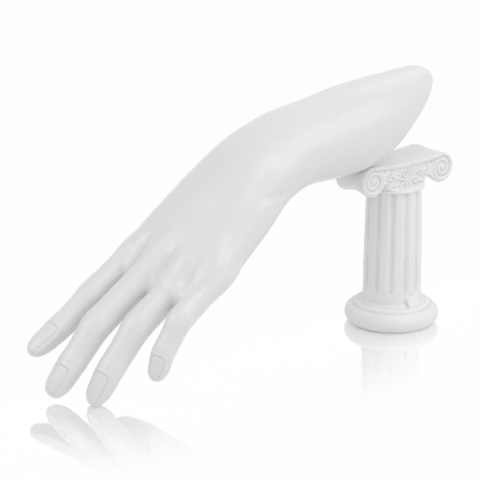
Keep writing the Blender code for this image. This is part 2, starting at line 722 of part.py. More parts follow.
def give_material(obj, name, colour, roughness):
    """One plain material for the object."""
    material = bpy.data.materials.new(name)
    material.use_nodes = True
    shader = material.node_tree.nodes["Principled BSDF"]
    shader.inputs["Base Color"].default_value = (*colour, 1)
    shader.inputs["Roughness"].default_value = roughness
    obj.data.materials.clear()
    obj.data.materials.append(material)


def main():
    for obj in list(bpy.data.objects):
        bpy.data.objects.remove(obj, do_unlink=True)
    parts = bpy.data.collections.new("hand_jewellery_stand")
    helpers = bpy.data.collections.new("cutters")
    for collection in (parts, helpers):
        bpy.context.scene.collection.children.link(collection)
    arm = build_arm(parts, helpers)
    column = build_column(parts, helpers)
    give_material(arm, "satin_white_paint", (0.86, 0.86, 0.87), 0.32)
    give_material(column, "white_plaster_paint", (0.84, 0.84, 0.84), 0.45)


main()
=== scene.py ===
"""Looks of the hand jewellery stand: a cast hand and forearm laid over a small Ionic column.

Units are metres and +Z is up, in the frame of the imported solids. The hand is rebuilt from the
same bones and sections as its solid, then sculpted: knuckles, tendons, creases and nails. The
column is rebuilt with soft cast edges, rolled scrolls and carved leaves. Both are painted white.
"""

import math

import bmesh
import bpy
import numpy as np
from bpy.props import FloatProperty, FloatVectorProperty, IntProperty, PointerProperty
from mathutils import Matrix, Vector


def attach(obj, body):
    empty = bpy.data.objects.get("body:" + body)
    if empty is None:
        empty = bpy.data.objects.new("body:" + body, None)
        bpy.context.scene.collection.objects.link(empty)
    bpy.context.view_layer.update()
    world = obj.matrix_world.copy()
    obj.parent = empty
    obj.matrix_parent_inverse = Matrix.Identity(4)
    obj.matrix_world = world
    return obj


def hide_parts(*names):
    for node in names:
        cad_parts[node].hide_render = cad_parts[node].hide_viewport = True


bl_info = {
    "name": "Hand Jewellery Stand",
    "version": (1, 0, 0),
    "blender": (4, 5, 0),
    "location": "View3D > Sidebar > Stand",
    "description": "Builds a cast display hand on a small column, with its paint and its stage",
    "category": "Object",
}

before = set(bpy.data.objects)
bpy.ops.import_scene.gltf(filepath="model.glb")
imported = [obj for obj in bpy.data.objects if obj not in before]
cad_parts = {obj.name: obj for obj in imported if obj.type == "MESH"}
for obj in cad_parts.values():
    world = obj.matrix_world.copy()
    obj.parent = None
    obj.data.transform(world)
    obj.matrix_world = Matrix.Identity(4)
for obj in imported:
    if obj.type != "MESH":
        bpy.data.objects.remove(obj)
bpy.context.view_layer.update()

MM = 0.001

# The column's turned foot.
BASE_RADIUS = 28.0 * MM
BASE_FOOT_RADIUS = 25.6 * MM
TORUS_HEIGHT = 11.6 * MM
LEDGE_RADIUS = 22.8 * MM
LEDGE_HEIGHT = 1.6 * MM
TONGUE_WIDTH = 8.0 * MM
TONGUE_REACH = 3.6 * MM
TONGUE_RISE = 6.5 * MM
TONGUE_BEARING = math.radians(-90.0)

# The shaft and its flutes.
SHAFT_RADIUS = 17.4 * MM
SHAFT_NECK_RADIUS = 16.4 * MM
FLUTES = 12
FLUTE_WIDTH = 4.4 * MM
FLUTE_DEPTH = 1.1 * MM
FLUTE_FOOT_GAP = 6.5 * MM
# Heights in mm above a flute's lower end, and the share of its breadth reached there.
FLUTE_FOOT_ROUNDING = ((0.0, 0.2), (0.8, 0.62), (2.6, 0.88), (6.0, 1.0))

# The capital. The slab on top sags between its two ends.
COLUMN_HEIGHT = 100.4 * MM
SLAB_LENGTH = 54.0 * MM
SLAB_DEPTH = 27.2 * MM
SLAB_THICKNESS = 2.4 * MM
SLAB_SAG = 1.5 * MM
FASCIA_INSET = 0.7 * MM
CHANNEL_HEIGHT = 7.0 * MM
CHANNEL_DEPTH = 22.4 * MM
VOLUTE_RADIUS = 9.1 * MM
VOLUTE_SPACING = 53.4 * MM
VOLUTE_WAIST = 7.4 * MM
VOLUTE_DEPTH = 23.6 * MM
VOLUTE_DROP = 0.1 * MM
VOLUTE_TURNS = 2.25
VOLUTE_RIDGE = 0.85 * MM
EYE_RADIUS = 1.2 * MM
ECHINUS_BULGE = 2.0 * MM
ECHINUS_HEIGHT = 13.0 * MM
PANEL_DEPTH = 24.6 * MM
ASTRAGAL_RADIUS = 0.9 * MM
BUD_RADIUS = 1.7 * MM

# The carving on each face, in mm and degrees: distance from the panel's middle, height above
# it, lean, length and width of a leaf. The fan's leaves are worked out from their spread.
FAN_LEAVES = 7
FAN_SPREAD = math.radians(72)
FAN_RADIUS = 4.9 * MM
FAN_DROP = 1.8 * MM
FAN_LEAF_LENGTH = 7.4 * MM
FAN_LEAF_WIDTH = 1.3 * MM
SIDE_LEAVES = (
    (1.8, -4.2, 152.0, 4.2, 1.5),
    (5.2, -3.4, 122.0, 5.6, 1.6),
    (9.6, -3.0, 100.0, 4.8, 1.6),
    (8.6, 3.8, 72.0, 6.4, 1.3),
    (13.7, 3.1, 120.0, 6.4, 1.3),
    (8.5, 1.2, 120.0, 6.4, 1.3),
    (13.8, 0.7, 70.0, 6.0, 1.3),
)
BUD_OUT = 11.0 * MM
BUD_UP = 2.2 * MM

# The bowl's swell, as shares: how far down from its top, and how much of its bulge.
BOWL_BULGES = ((0.0, 0.7), (0.35, 1.0), (0.65, 0.85), (0.88, 0.4), (1.0, 0.0))
BOWL_SQUARENESS = 10
BOWL_FOOT_REACH = 1.4 * MM

# How the forearm beds on the capital and the tips on the table.
SEAT_HALF_LENGTH = VOLUTE_SPACING / 2 + 0.85 * VOLUTE_RADIUS
SEAT_CLEARANCE = 0.3 * MM
SEAT_BEDDING = 0.8 * MM
TIP_FLAT = 0.25 * MM
VOXEL = 1.0 * MM
SMOOTH_PASSES = 14
WEB_PASSES = 16
WEB_REACH = 9.0 * MM
THUMB_WEB_PASSES = 40
THUMB_WEB_REACH = 17.0 * MM
SKIN_HOLLOW = 0.05 * MM

# Each row is one cross-section of the forearm and palm, from the blunt end to the finger webs,
# in mm and degrees: x, y, z of its centre, half width, half thickness, pitch, roll, squareness.
ARM_SECTIONS = (
    (23.6, 0.0, 147.8, 0.0, 0.0, 8.0, 0.0, 2.0),
    (23.1, 0.0, 147.7, 3.0, 2.4, 8.0, 0.0, 2.0),
    (21.2, 0.0, 147.4, 6.8, 5.2, 8.0, 0.0, 2.0),
    (17.2, 0.0, 146.2, 11.0, 8.2, 8.0, 0.0, 2.0),
    (8.0, 0.0, 141.6, 16.8, 12.6, 8.0, 0.0, 2.1),
    (-4.0, 0.0, 135.8, 21.4, 17.2, 8.0, 0.0, 2.1),
    (-18.0, 0.0, 130.0, 24.8, 22.0, 8.0, 0.0, 2.1),
    (-36.0, 0.0, 125.2, 26.4, 24.8, 8.0, 0.0, 2.1),
    (-60.0, 0.0, 121.9, 26.4, 23.6, 10.0, 2.0, 2.1),
    (-84.0, 0.5, 118.8, 26.6, 21.8, 20.0, 5.0, 2.1),
    (-104.0, 1.0, 110.6, 28.3, 20.4, 31.0, 8.0, 2.1),
    (-122.0, 1.5, 96.4, 31.6, 18.2, 37.0, 11.0, 2.2),
    (-138.0, 2.0, 82.8, 33.0, 15.6, 37.0, 13.0, 2.4),
    (-152.0, 2.0, 71.5, 34.0, 13.4, 37.0, 13.0, 2.6),
    (-164.0, 2.5, 61.5, 33.0, 11.0, 37.0, 13.0, 2.6),
    (-173.0, 3.0, 54.0, 28.0, 8.0, 37.0, 13.0, 2.4),
    (-178.0, 3.0, 49.8, 0.0, 0.0, 37.0, 13.0, 2.0),
)

# Each finger, in mm and degrees: knuckle centre, phalanx lengths, their pitches below level and
# their turn towards the thumb side, the breadth at its middle joint, and its roll.
FINGERS = {
    "index": ((-162.8, 28.4, 70.6), (38.0, 24.0, 25.0), (36.0, 38.0, 30.0), (6.0, 5.5, 2.5), 15.2, 16.0),
    "middle": ((-167.7, 10.5, 64.4), (45.0, 24.5, 21.5), (36.5, 52.0, 47.5), (4.0, 5.0, 2.5), 16.2, 18.0),
    "ring": ((-156.5, -8.5, 65.4), (42.0, 27.5, 22.5), (37.0, 53.5, 56.0), (4.0, 7.0, 5.0), 15.8, 22.0),
    "little": ((-148.5, -25.5, 64.8), (33.0, 19.0, 17.5), (35.0, 58.0, 69.0), (1.0, 3.0, 6.0), 13.4, 28.0),
    "thumb": ((-106.0, 14.0, 91.0), (41.0, 30.0, 25.0), (37.0, 38.0, 30.0), (35.0, 13.0, 1.0), 17.4, -50.0),
}
LONG_FINGERS = ("index", "middle", "ring", "little")

# Share of each phalanx, then half width and half thickness as shares of half the breadth.
# Shares below 0 run back into the palm.
FINGER_PROFILE = (
    (-0.40, 0.00, 0.00),
    (-0.36, 0.60, 0.55),
    (-0.20, 1.00, 0.90),
    (0.00, 1.12, 1.08),
    (0.50, 1.00, 1.02),
    (1.00, 1.02, 1.02),
    (1.50, 0.93, 0.93),
    (2.00, 0.93, 0.89),
    (2.35, 0.90, 0.82),
    (2.65, 0.82, 0.70),
    (2.85, 0.66, 0.52),
    (2.95, 0.44, 0.34),
    (3.00, 0.00, 0.00),
)
THUMB_PROFILE = (
    (-0.40, 0.00, 0.00),
    (-0.36, 0.66, 0.66),
    (-0.20, 1.10, 1.10),
    (0.00, 1.30, 1.36),
    (0.40, 1.34, 1.52),
    (0.80, 1.12, 1.22),
    (1.05, 1.02, 1.06),
    (1.50, 0.92, 0.92),
    (2.00, 1.00, 0.90),
    (2.35, 0.98, 0.84),
    (2.65, 0.88, 0.72),
    (2.85, 0.70, 0.54),
    (2.95, 0.46, 0.36),
    (3.00, 0.00, 0.00),
)

# The sculpting of the hand. A nail runs between two shares of its finger. Its plate stands up,
# its groove sinks in, and the skin folds up round it.
NAIL_START = 2.17
NAIL_END = 2.97
NAIL_HALF_WIDTH = 0.7
NAIL_LEAST_HALF_WIDTH = 3.2 * MM
NAIL_SQUARENESS = 4.0
NAIL_MARGIN = 2.2 * MM
NAIL_CUTS = 2
NAIL_PLATE = 0.15 * MM
NAIL_LINE_WIDTH = 0.34 * MM
NAIL_FOLD = 0.28 * MM
NAIL_EDGE = 0.25 * MM
JOINT_SWELL = 0.35 * MM
JOINT_SIDE_SWELL = 0.25 * MM
FINGER_PAD = 0.35 * MM
TIP_PAD = 0.4 * MM
TENDON = 0.32 * MM
ULNA_RISE = 1.2 * MM
WRIST_FOLD_DEPTH = 0.9 * MM
ULNA_HEAD = Vector((-106.0, -24.5, 116.0)) * MM
WRIST_FOLD = (Vector((-121.0, -27.0, 103.0)) * MM, Vector((-100.0, -27.0, 105.5)) * MM)
VALLEY_DEPTHS = (1.0, 0.9, 1.3)
WRIST_MIDDLE = Vector((-88.0, 0.0, 138.0)) * MM

# The camera stands where the photograph was taken from. Pixels are in a 480 by 480 frame.
FRAME_PIXELS = 480
FOOT_PIXEL = (391.0, 319.5)
SENSOR = 36.0
LAMP_AIM = (-0.1, 0.0, 0.07)
FLOOR_HALF = 6.0


class Wire:
    """One socket of a material's nodes. Python's operators on it add Math nodes."""

    def __init__(self, tree, socket=None):
        self.tree = tree
        self.socket = socket

    def add(self, kind, settings=None, sockets=None, output=0):
        """A new node: its settings first, then the values or links of its sockets."""
        node = self.tree.nodes.new(kind)
        for key, value in (settings or {}).items():
            setattr(node, key, value)
        for key, value in (sockets or {}).items():
            if isinstance(value, Wire):
                self.tree.links.new(value.socket, node.inputs[key])
            else:
                node.inputs[key].default_value = value
        return Wire(self.tree, node.outputs[output])

    def calculate(self, operation, *values):
        """A Math node on one, two or three numbers or wires."""
        return self.add("ShaderNodeMath", {"operation": operation}, dict(enumerate(values)))

    def __add__(self, other):
        return self.calculate("ADD", self, other)

    def __sub__(self, other):
        return self.calculate("SUBTRACT", self, other)

    def __rsub__(self, other):
        return self.calculate("SUBTRACT", other, self)

    def __mul__(self, other):
        return self.calculate("MULTIPLY", self, other)

    __radd__ = __add__
    __rmul__ = __mul__

    def feed(self, shader, name):
        """Links this wire to a named socket of a shader."""
        self.tree.links.new(self.socket, shader.inputs[name])


def noise(wire, place, scale, detail, roughness):
    """A Noise texture's grey value at a place."""
    sockets = {"Vector": place, "Scale": scale, "Detail": detail, "Roughness": roughness}
    return wire.add("ShaderNodeTexNoise", {}, sockets)


def mix_colours(wire, share, first, second):
    """The first colour, and by the share the second."""
    return wire.add("ShaderNodeMix", {"data_type": "RGBA"}, {0: share, 6: first, 7: second}, output=2)


def white_paint(name, look):
    """Satin white paint on cast resin: orange peel, painted shade in hollows, painted highlight on ridges.
    """
    material = bpy.data.materials.new(name)
    material.use_nodes = True
    shader = material.node_tree.nodes["Principled BSDF"]
    paint = Wire(material.node_tree)
    place = paint.add("ShaderNodeTexCoord", output="Object")
    hollow = paint.add("ShaderNodeAttribute", {"attribute_name": "hollow"}, output="Fac")
    ridge = paint.add("ShaderNodeAttribute", {"attribute_name": "ridge"}, output="Fac")
    cloud = noise(paint, place, 38.0, 4.0, 0.55)
    peel = noise(paint, place, 520.0, 2.0, 0.4)
    grain = noise(paint, place, 2600.0, 1.0, 0.5)
    # Painted shade: hollows, varied by a random cloud, mix the paint towards the darker hollow colour.
    painted_shade = paint.calculate("MINIMUM", hollow * 0.8 + (cloud - 0.5) * 0.12, 1.0)
    painted_shade = paint.calculate("MAXIMUM", painted_shade, 0.0)
    shaded = mix_colours(paint, painted_shade, (*look.colour, 1.0), (*look.painted_shade_colour, 1.0))
    # Painted highlight: ridges mix the paint towards the lighter ridge colour.
    highlighted = mix_colours(paint, ridge * 0.35, shaded, (*look.painted_highlight_colour, 1.0))
    highlighted.feed(shader, "Base Color")
    rough = look.roughness + (cloud - 0.5) * 0.06 + hollow * 0.12 - ridge * 0.03
    rough.feed(shader, "Roughness")
    height = peel * 0.7 + grain * 0.12
    bump = paint.add("ShaderNodeBump", {}, {"Height": height, "Strength": look.peel, "Distance": 0.03 * MM})
    bump.feed(shader, "Normal")
    shader.inputs["IOR"].default_value = 1.5
    shader.inputs["Coat Weight"].default_value = look.coat
    shader.inputs["Coat Roughness"].default_value = 0.2
    return material


def smooth_between(keys, values, samples):
    """Catmull-Rom interpolation of rows of values, given at keys, at the samples."""
    keys = np.asarray(keys, float)
    values = np.asarray(values, float)
    slopes = np.gradient(values, keys, axis=0)
    out = []
    for s in samples:
        i = min(max(int(np.searchsorted(keys, s)) - 1, 0), len(keys) - 2)
        span = keys[i + 1] - keys[i]
        t = (s - keys[i]) / span
        out.append(
            (2 * t**3 - 3 * t**2 + 1) * values[i]
            + (t**3 - 2 * t**2 + t) * span * slopes[i]
            + (3 * t**2 - 2 * t**3) * values[i + 1]
            + (t**3 - t**2) * span * slopes[i + 1]
        )
    return np.array(out)


def ring_points(centre, across, up, half_width, half_height, squareness, sides):
    """Points of one superellipse in the plane of two unit vectors."""
    points = []
    for k in range(sides):
        angle = 2 * math.pi * k / sides
        c, s = math.cos(angle), math.sin(angle)
        x = math.copysign(abs(c) ** (2 / squareness), c) * half_width
        y = math.copysign(abs(s) ** (2 / squareness), s) * half_height
        points.append(centre + across * x + up * y)
    return points


def loft(bm, rings):
    """Skins rings of equal length. A first or last ring of no size becomes a pole."""
    made = []
    for ring in rings:
        if (ring[0] - ring[len(ring) // 2]).length < 0.05 * MM:
            made.append([bm.verts.new(ring[0])])
        else:
            made.append([bm.verts.new(p) for p in ring])
    for a, b in zip(made, made[1:]):
        sides = max(len(a), len(b))
        for k in range(sides):
            j = (k + 1) % sides
            if len(a) == 1:
                bm.faces.new((a[0], b[j], b[k]))
            elif len(b) == 1:
                bm.faces.new((a[k], a[j], b[0]))
            else:
                bm.faces.new((a[k], a[j], b[j], b[k]))
    for end in (made[0], made[-1]):
        if len(end) > 1:
            bm.faces.new(end)


def section_axes(pitch, roll, turn=0.0):
    """Direction, across and up vectors of a section facing -X, pitched down, turned and rolled."""
    aimed = Matrix.Rotation(math.radians(-turn), 3, "Z") @ Matrix.Rotation(math.radians(-pitch), 3, "Y")
    rolled = aimed @ Matrix.Rotation(math.radians(roll), 3, "X")
    return aimed @ Vector((-1, 0, 0)), rolled @ Vector((0, 1, 0)), rolled @ Vector((0, 0, 1))


def add_forearm_and_palm(bm):
    """The long body of the casting, from its blunt end to the webs."""
    table = np.array(ARM_SECTIONS, float)
    keys = np.concatenate([[0], np.cumsum(np.linalg.norm(np.diff(table[:, :3], axis=0), axis=1))])
    samples = np.unique(np.concatenate([keys, np.arange(0, keys[-1], 3.0)]))
    rings = []
    for row in smooth_between(keys, table, samples):
        x, y, z, half_width, half_height, pitch, roll, squareness = row
        _, across, up = section_axes(pitch, roll)
        size = max(half_width, 0) * MM, max(half_height, 0) * MM
        rings.append(ring_points(Vector((x, y, z)) * MM, across, up, *size, squareness, 40))
    loft(bm, rings)


def finger_frames(name):
    """Samples along one finger: share, centre, across, up, half width and half thickness."""
    knuckle, lengths, pitches, turns, breadth, roll = FINGERS[name]
    joints = [Vector(knuckle) * MM]
    for length, pitch, turn in zip(lengths, pitches, turns):
        direction, _, _ = section_axes(pitch, 0.0, turn)
        joints.append(joints[-1] + direction * length * MM)
    bend_keys = (-0.4, 0.5, 1.5, 2.5, 3)
    bends = np.array([(pitches[i], turns[i]) for i in (0, 0, 1, 2, 2)], float)
    samples = [-0.4, -0.39, -0.36, -0.3, -0.2, -0.1] + [i / 12 for i in range(34)]
    samples += [2.82, 2.88, 2.93, 2.97, 2.99, 3.0]
    shape = np.array(THUMB_PROFILE if name == "thumb" else FINGER_PROFILE)
    profile = smooth_between(shape[:, 0], shape[:, 1:], samples)
    frames = []
    for share, (wide, thick) in zip(samples, profile):
        i = min(max(int(share), 0), 2)
        straight = joints[i].lerp(joints[i + 1], share - i)
        pitch, turn = smooth_between(bend_keys, bends, [share])[0]
        _, across, up = section_axes(pitch, roll, turn)
        half = breadth / 2 * MM
        frames.append([straight, across, up, max(wide, 0) * half, max(thick, 0) * half])
    centres = np.array([f[0] for f in frames])
    for _ in range(6):
        centres[1:-1] = (centres[:-2] + 2 * centres[1:-1] + centres[2:]) / 4
    for one, centre in zip(frames, centres):
        one[0] = Vector(centre)
    return samples, frames


def add_finger(bm, name):
    """One finger as a tapering tube with swollen joints and a rounded tip."""
    _, frames = finger_frames(name)
    loft(bm, [ring_points(*frame_row, 2.15, 24) for frame_row in frames])


def new_object(name, bm):
    """An object in the scene that holds the bmesh, its faces pointing out."""
    mesh = bpy.data.meshes.new(name)
    bmesh.ops.recalc_face_normals(bm, faces=bm.faces)
    bm.to_mesh(mesh)
    bm.free()
    obj = bpy.data.objects.new(name, mesh)
    bpy.context.scene.collection.objects.link(obj)
    return obj


def bake_modifiers(obj):
    """Gives the object the mesh that its modifiers make, and removes them."""
    depsgraph = bpy.context.evaluated_depsgraph_get()
    mesh = bpy.data.meshes.new_from_object(obj.evaluated_get(depsgraph), depsgraph=depsgraph)
    obj.modifiers.clear()
    obj.data = mesh
    return obj


def fuse(obj, voxel, passes):
    """Fuses overlapping closed forms in one skin, and softens it."""
    remesh = obj.modifiers.new("fuse", "REMESH")
    remesh.mode = "VOXEL"
    remesh.voxel_size = voxel
    soften = obj.modifiers.new("soften", "SMOOTH")
    soften.factor = 0.5
    soften.iterations = passes
    return bake_modifiers(obj)


def read_rows(rows, attribute, width, kind=float):
    """One attribute of all vertices or edges, as an array with so many numbers in a row."""
    values = np.empty(len(rows) * width, kind)
    rows.foreach_get(attribute, values)
    return values.reshape(-1, width)


def mesh_points(mesh):
    """The vertex places as an array of rows."""
    return read_rows(mesh.vertices, "co", 3)


def mesh_edges(mesh):
    """The edges as an array of pairs."""
    return read_rows(mesh.edges, "vertices", 2, int)


def mesh_normals(mesh):
    """The vertex normals as an array of rows."""
    return read_rows(mesh.vertex_normals, "vector", 3)


def neighbour_means(values, edges):
    """The mean of each vertex's neighbours, for an array of rows."""
    a, b = edges.T
    count = np.bincount(edges.ravel(), minlength=len(values))
    sums = [
        np.bincount(a, column[b], len(values)) + np.bincount(b, column[a], len(values))
        for column in values.T
    ]
    return np.stack(sums, axis=1) / count[:, None]


def relax(mesh, weights, passes):
    """Moves each vertex towards the mean of its neighbours by its weight, several times."""
    points, edges = mesh_points(mesh), mesh_edges(mesh)
    for _ in range(passes):
        points += (neighbour_means(points, edges) - points) * weights[:, None]
    mesh.vertices.foreach_set("co", points.ravel())
    mesh.update()


def note_hollows(mesh, reach):
    """Stores how hollow and how ridged the surface is at each vertex, for the paint's painted shade in
    hollows and painted highlight on ridges.
    """
    edges = mesh_edges(mesh)
    points, normals = mesh_points(mesh), mesh_normals(mesh)
    bend = ((neighbour_means(points, edges) - points) * normals).sum(axis=1)[:, None]
    for _ in range(3):
        bend = (bend + neighbour_means(bend, edges)) / 2
    for name, sign in (("hollow", 1), ("ridge", -1)):
        layer = mesh.attributes.new(name, "FLOAT", "POINT")
        layer.data.foreach_set("value", np.clip(sign * bend[:, 0] / reach, 0, 1).astype(np.float32))


def slab_height(x):
    """Height of the slab's top above the table at x: lowest in the middle."""
    return COLUMN_HEIGHT + SLAB_SAG * (2 * x / SLAB_LENGTH) ** 2


def volute_height():
    """Height of the volute centres: their rims reach almost to the slab's top."""
    return slab_height(VOLUTE_SPACING / 2) - VOLUTE_RADIUS - VOLUTE_DROP


def top_height(x, clearance=0.0):
    """Height of the capital's top at x: the slab, and beyond its ends the rolls."""
    from_roll = abs(x) - VOLUTE_SPACING / 2
    roll = VOLUTE_RADIUS + clearance
    if abs(x) <= SLAB_LENGTH / 2 + clearance or abs(from_roll) >= roll:
        return slab_height(x) + clearance
    return volute_height() + math.sqrt(roll**2 - from_roll**2)


def bedding(points):
    """Tilt and lift of the arm at which its tips and its underside both bed as the solid does."""

    def tilted(angle):
        moved = points @ np.array(Matrix.Rotation(angle, 3, "Y")).T
        lift = -moved[:, 2].min() - TIP_FLAT
        moved[:, 2] += lift
        return moved, lift

    def sunk(moved):
        over = (np.abs(moved[:, 0]) < SEAT_HALF_LENGTH) & (np.abs(moved[:, 1]) < SLAB_DEPTH / 2)
        return max(top_height(x) - z for x, z in moved[over][:, (0, 2)]) - SEAT_BEDDING

    low, high = math.radians(-20), math.radians(20)
    for _ in range(24):
        middle = (low + high) / 2
        if sunk(tilted(middle)[0]) > 0:
            high = middle
        else:
            low = middle
    return middle, tilted(middle)[1]


def bell(distance, width):
    """A smooth bump that is 1 at no distance."""
    return np.exp(-((distance / width) ** 2))


def step(value, low, high):
    """A smooth rise from 0 at low to 1 at high."""
    t = np.clip((value - low) / (high - low), 0, 1)
    return t * t * (3 - 2 * t)


class FingerField:
    """Where points lie in one finger: share along its bones, and metres across and above them."""

    def __init__(self, name, points):
        samples, frames = finger_frames(name)
        fine = np.linspace(samples[0], samples[-1], 240)

        def spread(index):
            rows = np.array([tuple(f[index]) for f in frames])
            return np.stack([np.interp(fine, samples, column) for column in rows.T], axis=1)

        centres, across, up = spread(0), spread(1), spread(2)
        wide = np.interp(fine, samples, [f[3] for f in frames])
        thick = np.interp(fine, samples, [f[4] for f in frames])
        along = np.gradient(centres, fine, axis=0)
        near = np.empty(len(points), int)
        for start in range(0, len(points), 8000):
            part = points[start : start + 8000]
            gap = (part**2).sum(1)[:, None] - 2 * part @ centres.T + (centres**2).sum(1)[None]
            near[start : start + 8000] = gap.argmin(axis=1)
        offset = points - centres[near]
        tangent = along[near]
        run = (offset * tangent).sum(1) / (tangent**2).sum(1)
        between_ends = (near > 0) & (near < len(fine) - 1)
        self.share = fine[near] + np.where(between_ends, run, np.clip(run, -0.02, 0.02))
        self.across = (offset * across[near]).sum(1)
        self.above = (offset * up[near]).sum(1)
        self.wide = np.maximum(wide[near], 2 * MM)
        self.thick = np.maximum(thick[near], 2 * MM)
        self.unit = np.linalg.norm(along[near], axis=1)
        round_distance = np.hypot(self.across / self.wide, self.above / self.thick)
        self.inside = 1 - step(round_distance, 1.25, 1.55)
        self.back = step(self.above / self.thick, 0.0, 0.4)
        self.palm = step(-self.above / self.thick, 0.1, 0.5)


def nail_distance(field):
    """Metres outside the nail's outline, below 0 on the nail, and how near its free edge is."""
    half_length = (NAIL_END - NAIL_START) / 2 * field.unit
    run = (field.share - (NAIL_START + NAIL_END) / 2) * field.unit
    taper = np.interp(field.share, (2.6, 3.0), (1.0, 0.9))
    half_width = np.maximum(NAIL_HALF_WIDTH * taper * field.wide, NAIL_LEAST_HALF_WIDTH)
    u, v = np.abs(run / half_length), np.abs(field.across / half_width)
    rho = (u**NAIL_SQUARENESS + v**NAIL_SQUARENESS) ** (1 / NAIL_SQUARENESS) + 1e-6
    slope = np.hypot(u / half_length, v / half_width) / rho
    tip = step(run / half_length, 0.45, 0.85)
    return (rho - 1) / np.maximum(slope, 1), tip


def nail_relief(field, depth):
    """Height to add for one nail: plate, groove round it, fold of skin and free edge."""
    distance, tip = nail_distance(field)
    plate = NAIL_PLATE * step(-distance, 0.0, 0.6 * MM)
    groove = -depth * bell(distance, NAIL_LINE_WIDTH) * (1 - 0.7 * tip)
    fold = NAIL_FOLD * bell(distance - 1.1 * MM, 0.75 * MM) * (1 - tip)
    edge = NAIL_EDGE * tip * step(-distance, -0.15 * MM, 0.25 * MM)
    in_reach = field.inside * field.back * step(field.share, 2.02, 2.16)
    return (plate + groove + fold + edge) * in_reach


def crease(field, share, offsets, depth, width, bow):
    """Fine lines across a finger at a joint. They bow by so many metres at its sides."""
    lines = 0
    for offset in offsets:
        bowed = offset + bow * (field.across / field.wide) ** 2
        lines = lines - depth * bell((field.share - share) * field.unit - bowed, width)
    return lines * field.inside


def finger_relief(name, points, look):
    """Height to add for one finger: joints, creases and nail."""
    field = FingerField(name, points)
    palm = field.palm * field.inside
    sides = step(np.abs(field.across / field.wide), 0.5, 0.9)
    height = nail_relief(field, look.nail_groove)
    for share, offsets in ((1.0, (-1.9 * MM, 0.0, 1.8 * MM)), (2.0, (-0.9 * MM, 0.9 * MM))):
        run = (field.share - share) * field.unit
        height += JOINT_SWELL * bell(run, 5.0 * MM) * field.back * field.inside
        height += JOINT_SIDE_SWELL * bell(run, 4.0 * MM) * sides * field.inside
        height += crease(field, share, offsets, look.crease, 0.65 * MM, -1.2 * MM) * field.back
        inner = crease(field, share, (0.0, 1.5 * MM), look.crease * 1.3, 0.8 * MM, 0.6 * MM)
        height += inner * field.palm
    if name != "thumb":
        root = crease(field, 0.42, (0.0,), look.crease * 1.6, 0.9 * MM, 0.8 * MM)
        height += root * field.palm
        height += FINGER_PAD * (bell(field.share - 0.72, 0.2) + bell(field.share - 1.5, 0.3)) * palm
    return height + TIP_PAD * bell(field.share - 2.55, 0.28) * palm


def line_distance(points, start, end):
    """Metres from a straight line between two points, and the share along it."""
    start, end = np.array(start), np.array(end)
    along = end - start
    share = ((points - start) @ along) / (along @ along)
    foot = start + np.clip(share, 0, 1)[:, None] * along
    return np.linalg.norm(points - foot, axis=1), share


def top_of_finger(name, share):
    """The place on a finger's back at one share along it."""
    samples, frames = finger_frames(name)
    centre, _, up, _, thick = frames[samples.index(share)]
    return centre + up * thick


def distance_from(points, place):
    """Metres of each point from one place."""
    return np.linalg.norm(points - np.array(place), axis=1)


def back_of_hand_relief(points, look):
    """Height to add for knuckles, the valleys between them, tendons and the wrist bone."""
    height = ULNA_RISE * bell(distance_from(points, ULNA_HEAD), 9.0 * MM)
    knuckles = [top_of_finger(name, 0.0) for name in LONG_FINGERS]
    roots = [top_of_finger(name, 0.5) for name in LONG_FINGERS]
    for place in knuckles:
        height += look.knuckle * bell(distance_from(points, place), 8.5 * MM)
        reach, share = line_distance(points, WRIST_MIDDLE.lerp(place, 0.25), place)
        fade = step(share, 0.0, 0.4) * (1 - step(share, 0.85, 1.15))
        height += TENDON * bell(reach, 3.0 * MM) * fade
    for i, depth in enumerate(VALLEY_DEPTHS):
        start = (knuckles[i] + knuckles[i + 1]) / 2
        end = (roots[i] + roots[i + 1]) / 2
        reach, share = line_distance(points, start.lerp(end, -1.0), start.lerp(end, 1.3))
        fade = step(share, 0.05, 0.5) * (1 - step(share, 0.6, 0.95))
        trough = 0.6 * bell(reach, 6.0 * MM) + 0.6 * bell(reach, 2.6 * MM)
        height -= look.valley * depth * fade * trough
    reach, share = line_distance(points, *WRIST_FOLD)
    return height - WRIST_FOLD_DEPTH * bell(reach, 2.6 * MM) * bell(share - 0.45, 0.5)


def refine(mesh, chosen, cuts):
    """Splits the faces round the chosen vertices in finer ones, and rounds them again."""
    bm = bmesh.new()
    bm.from_mesh(mesh)
    bm.verts.ensure_lookup_table()
    edges = [e for e in bm.edges if chosen[e.verts[0].index] and chosen[e.verts[1].index]]
    first_new = len(bm.verts)
    bmesh.ops.subdivide_edges(bm, edges=edges, cuts=cuts, use_grid_fill=True)
    bm.verts.index_update()
    fine = np.zeros(len(bm.verts))
    fine[first_new:] = 0.5
    fine[: len(chosen)][chosen] = 0.5
    bm.to_mesh(mesh)
    bm.free()
    relax(mesh, fine, 10)


def bone_place(name, share):
    """The place in the middle of a finger at one share along it."""
    samples, frames = finger_frames(name)
    return frames[samples.index(share)][0]


def nearness(points, places, reach):
    """How near each vertex is to the nearest of some places: 1 there, and 0 out of reach."""
    gap = np.min([distance_from(points, place) for place in places], axis=0)
    return np.clip(1 - gap / reach, 0, 1)


def web_weights(points):
    """How much each vertex belongs to the skin between two fingers, from 0 to 1."""
    roots = [bone_place(name, 0.25) for name in LONG_FINGERS]
    return nearness(points, [(a + b) / 2 for a, b in zip(roots, roots[1:])], WEB_REACH)


def thumb_weights(points):
    """How much each vertex belongs to the crook between thumb and palm, from 0 to 1."""
    return nearness(points, [bone_place("thumb", share) for share in (0.25, -0.3)], THUMB_WEB_REACH)


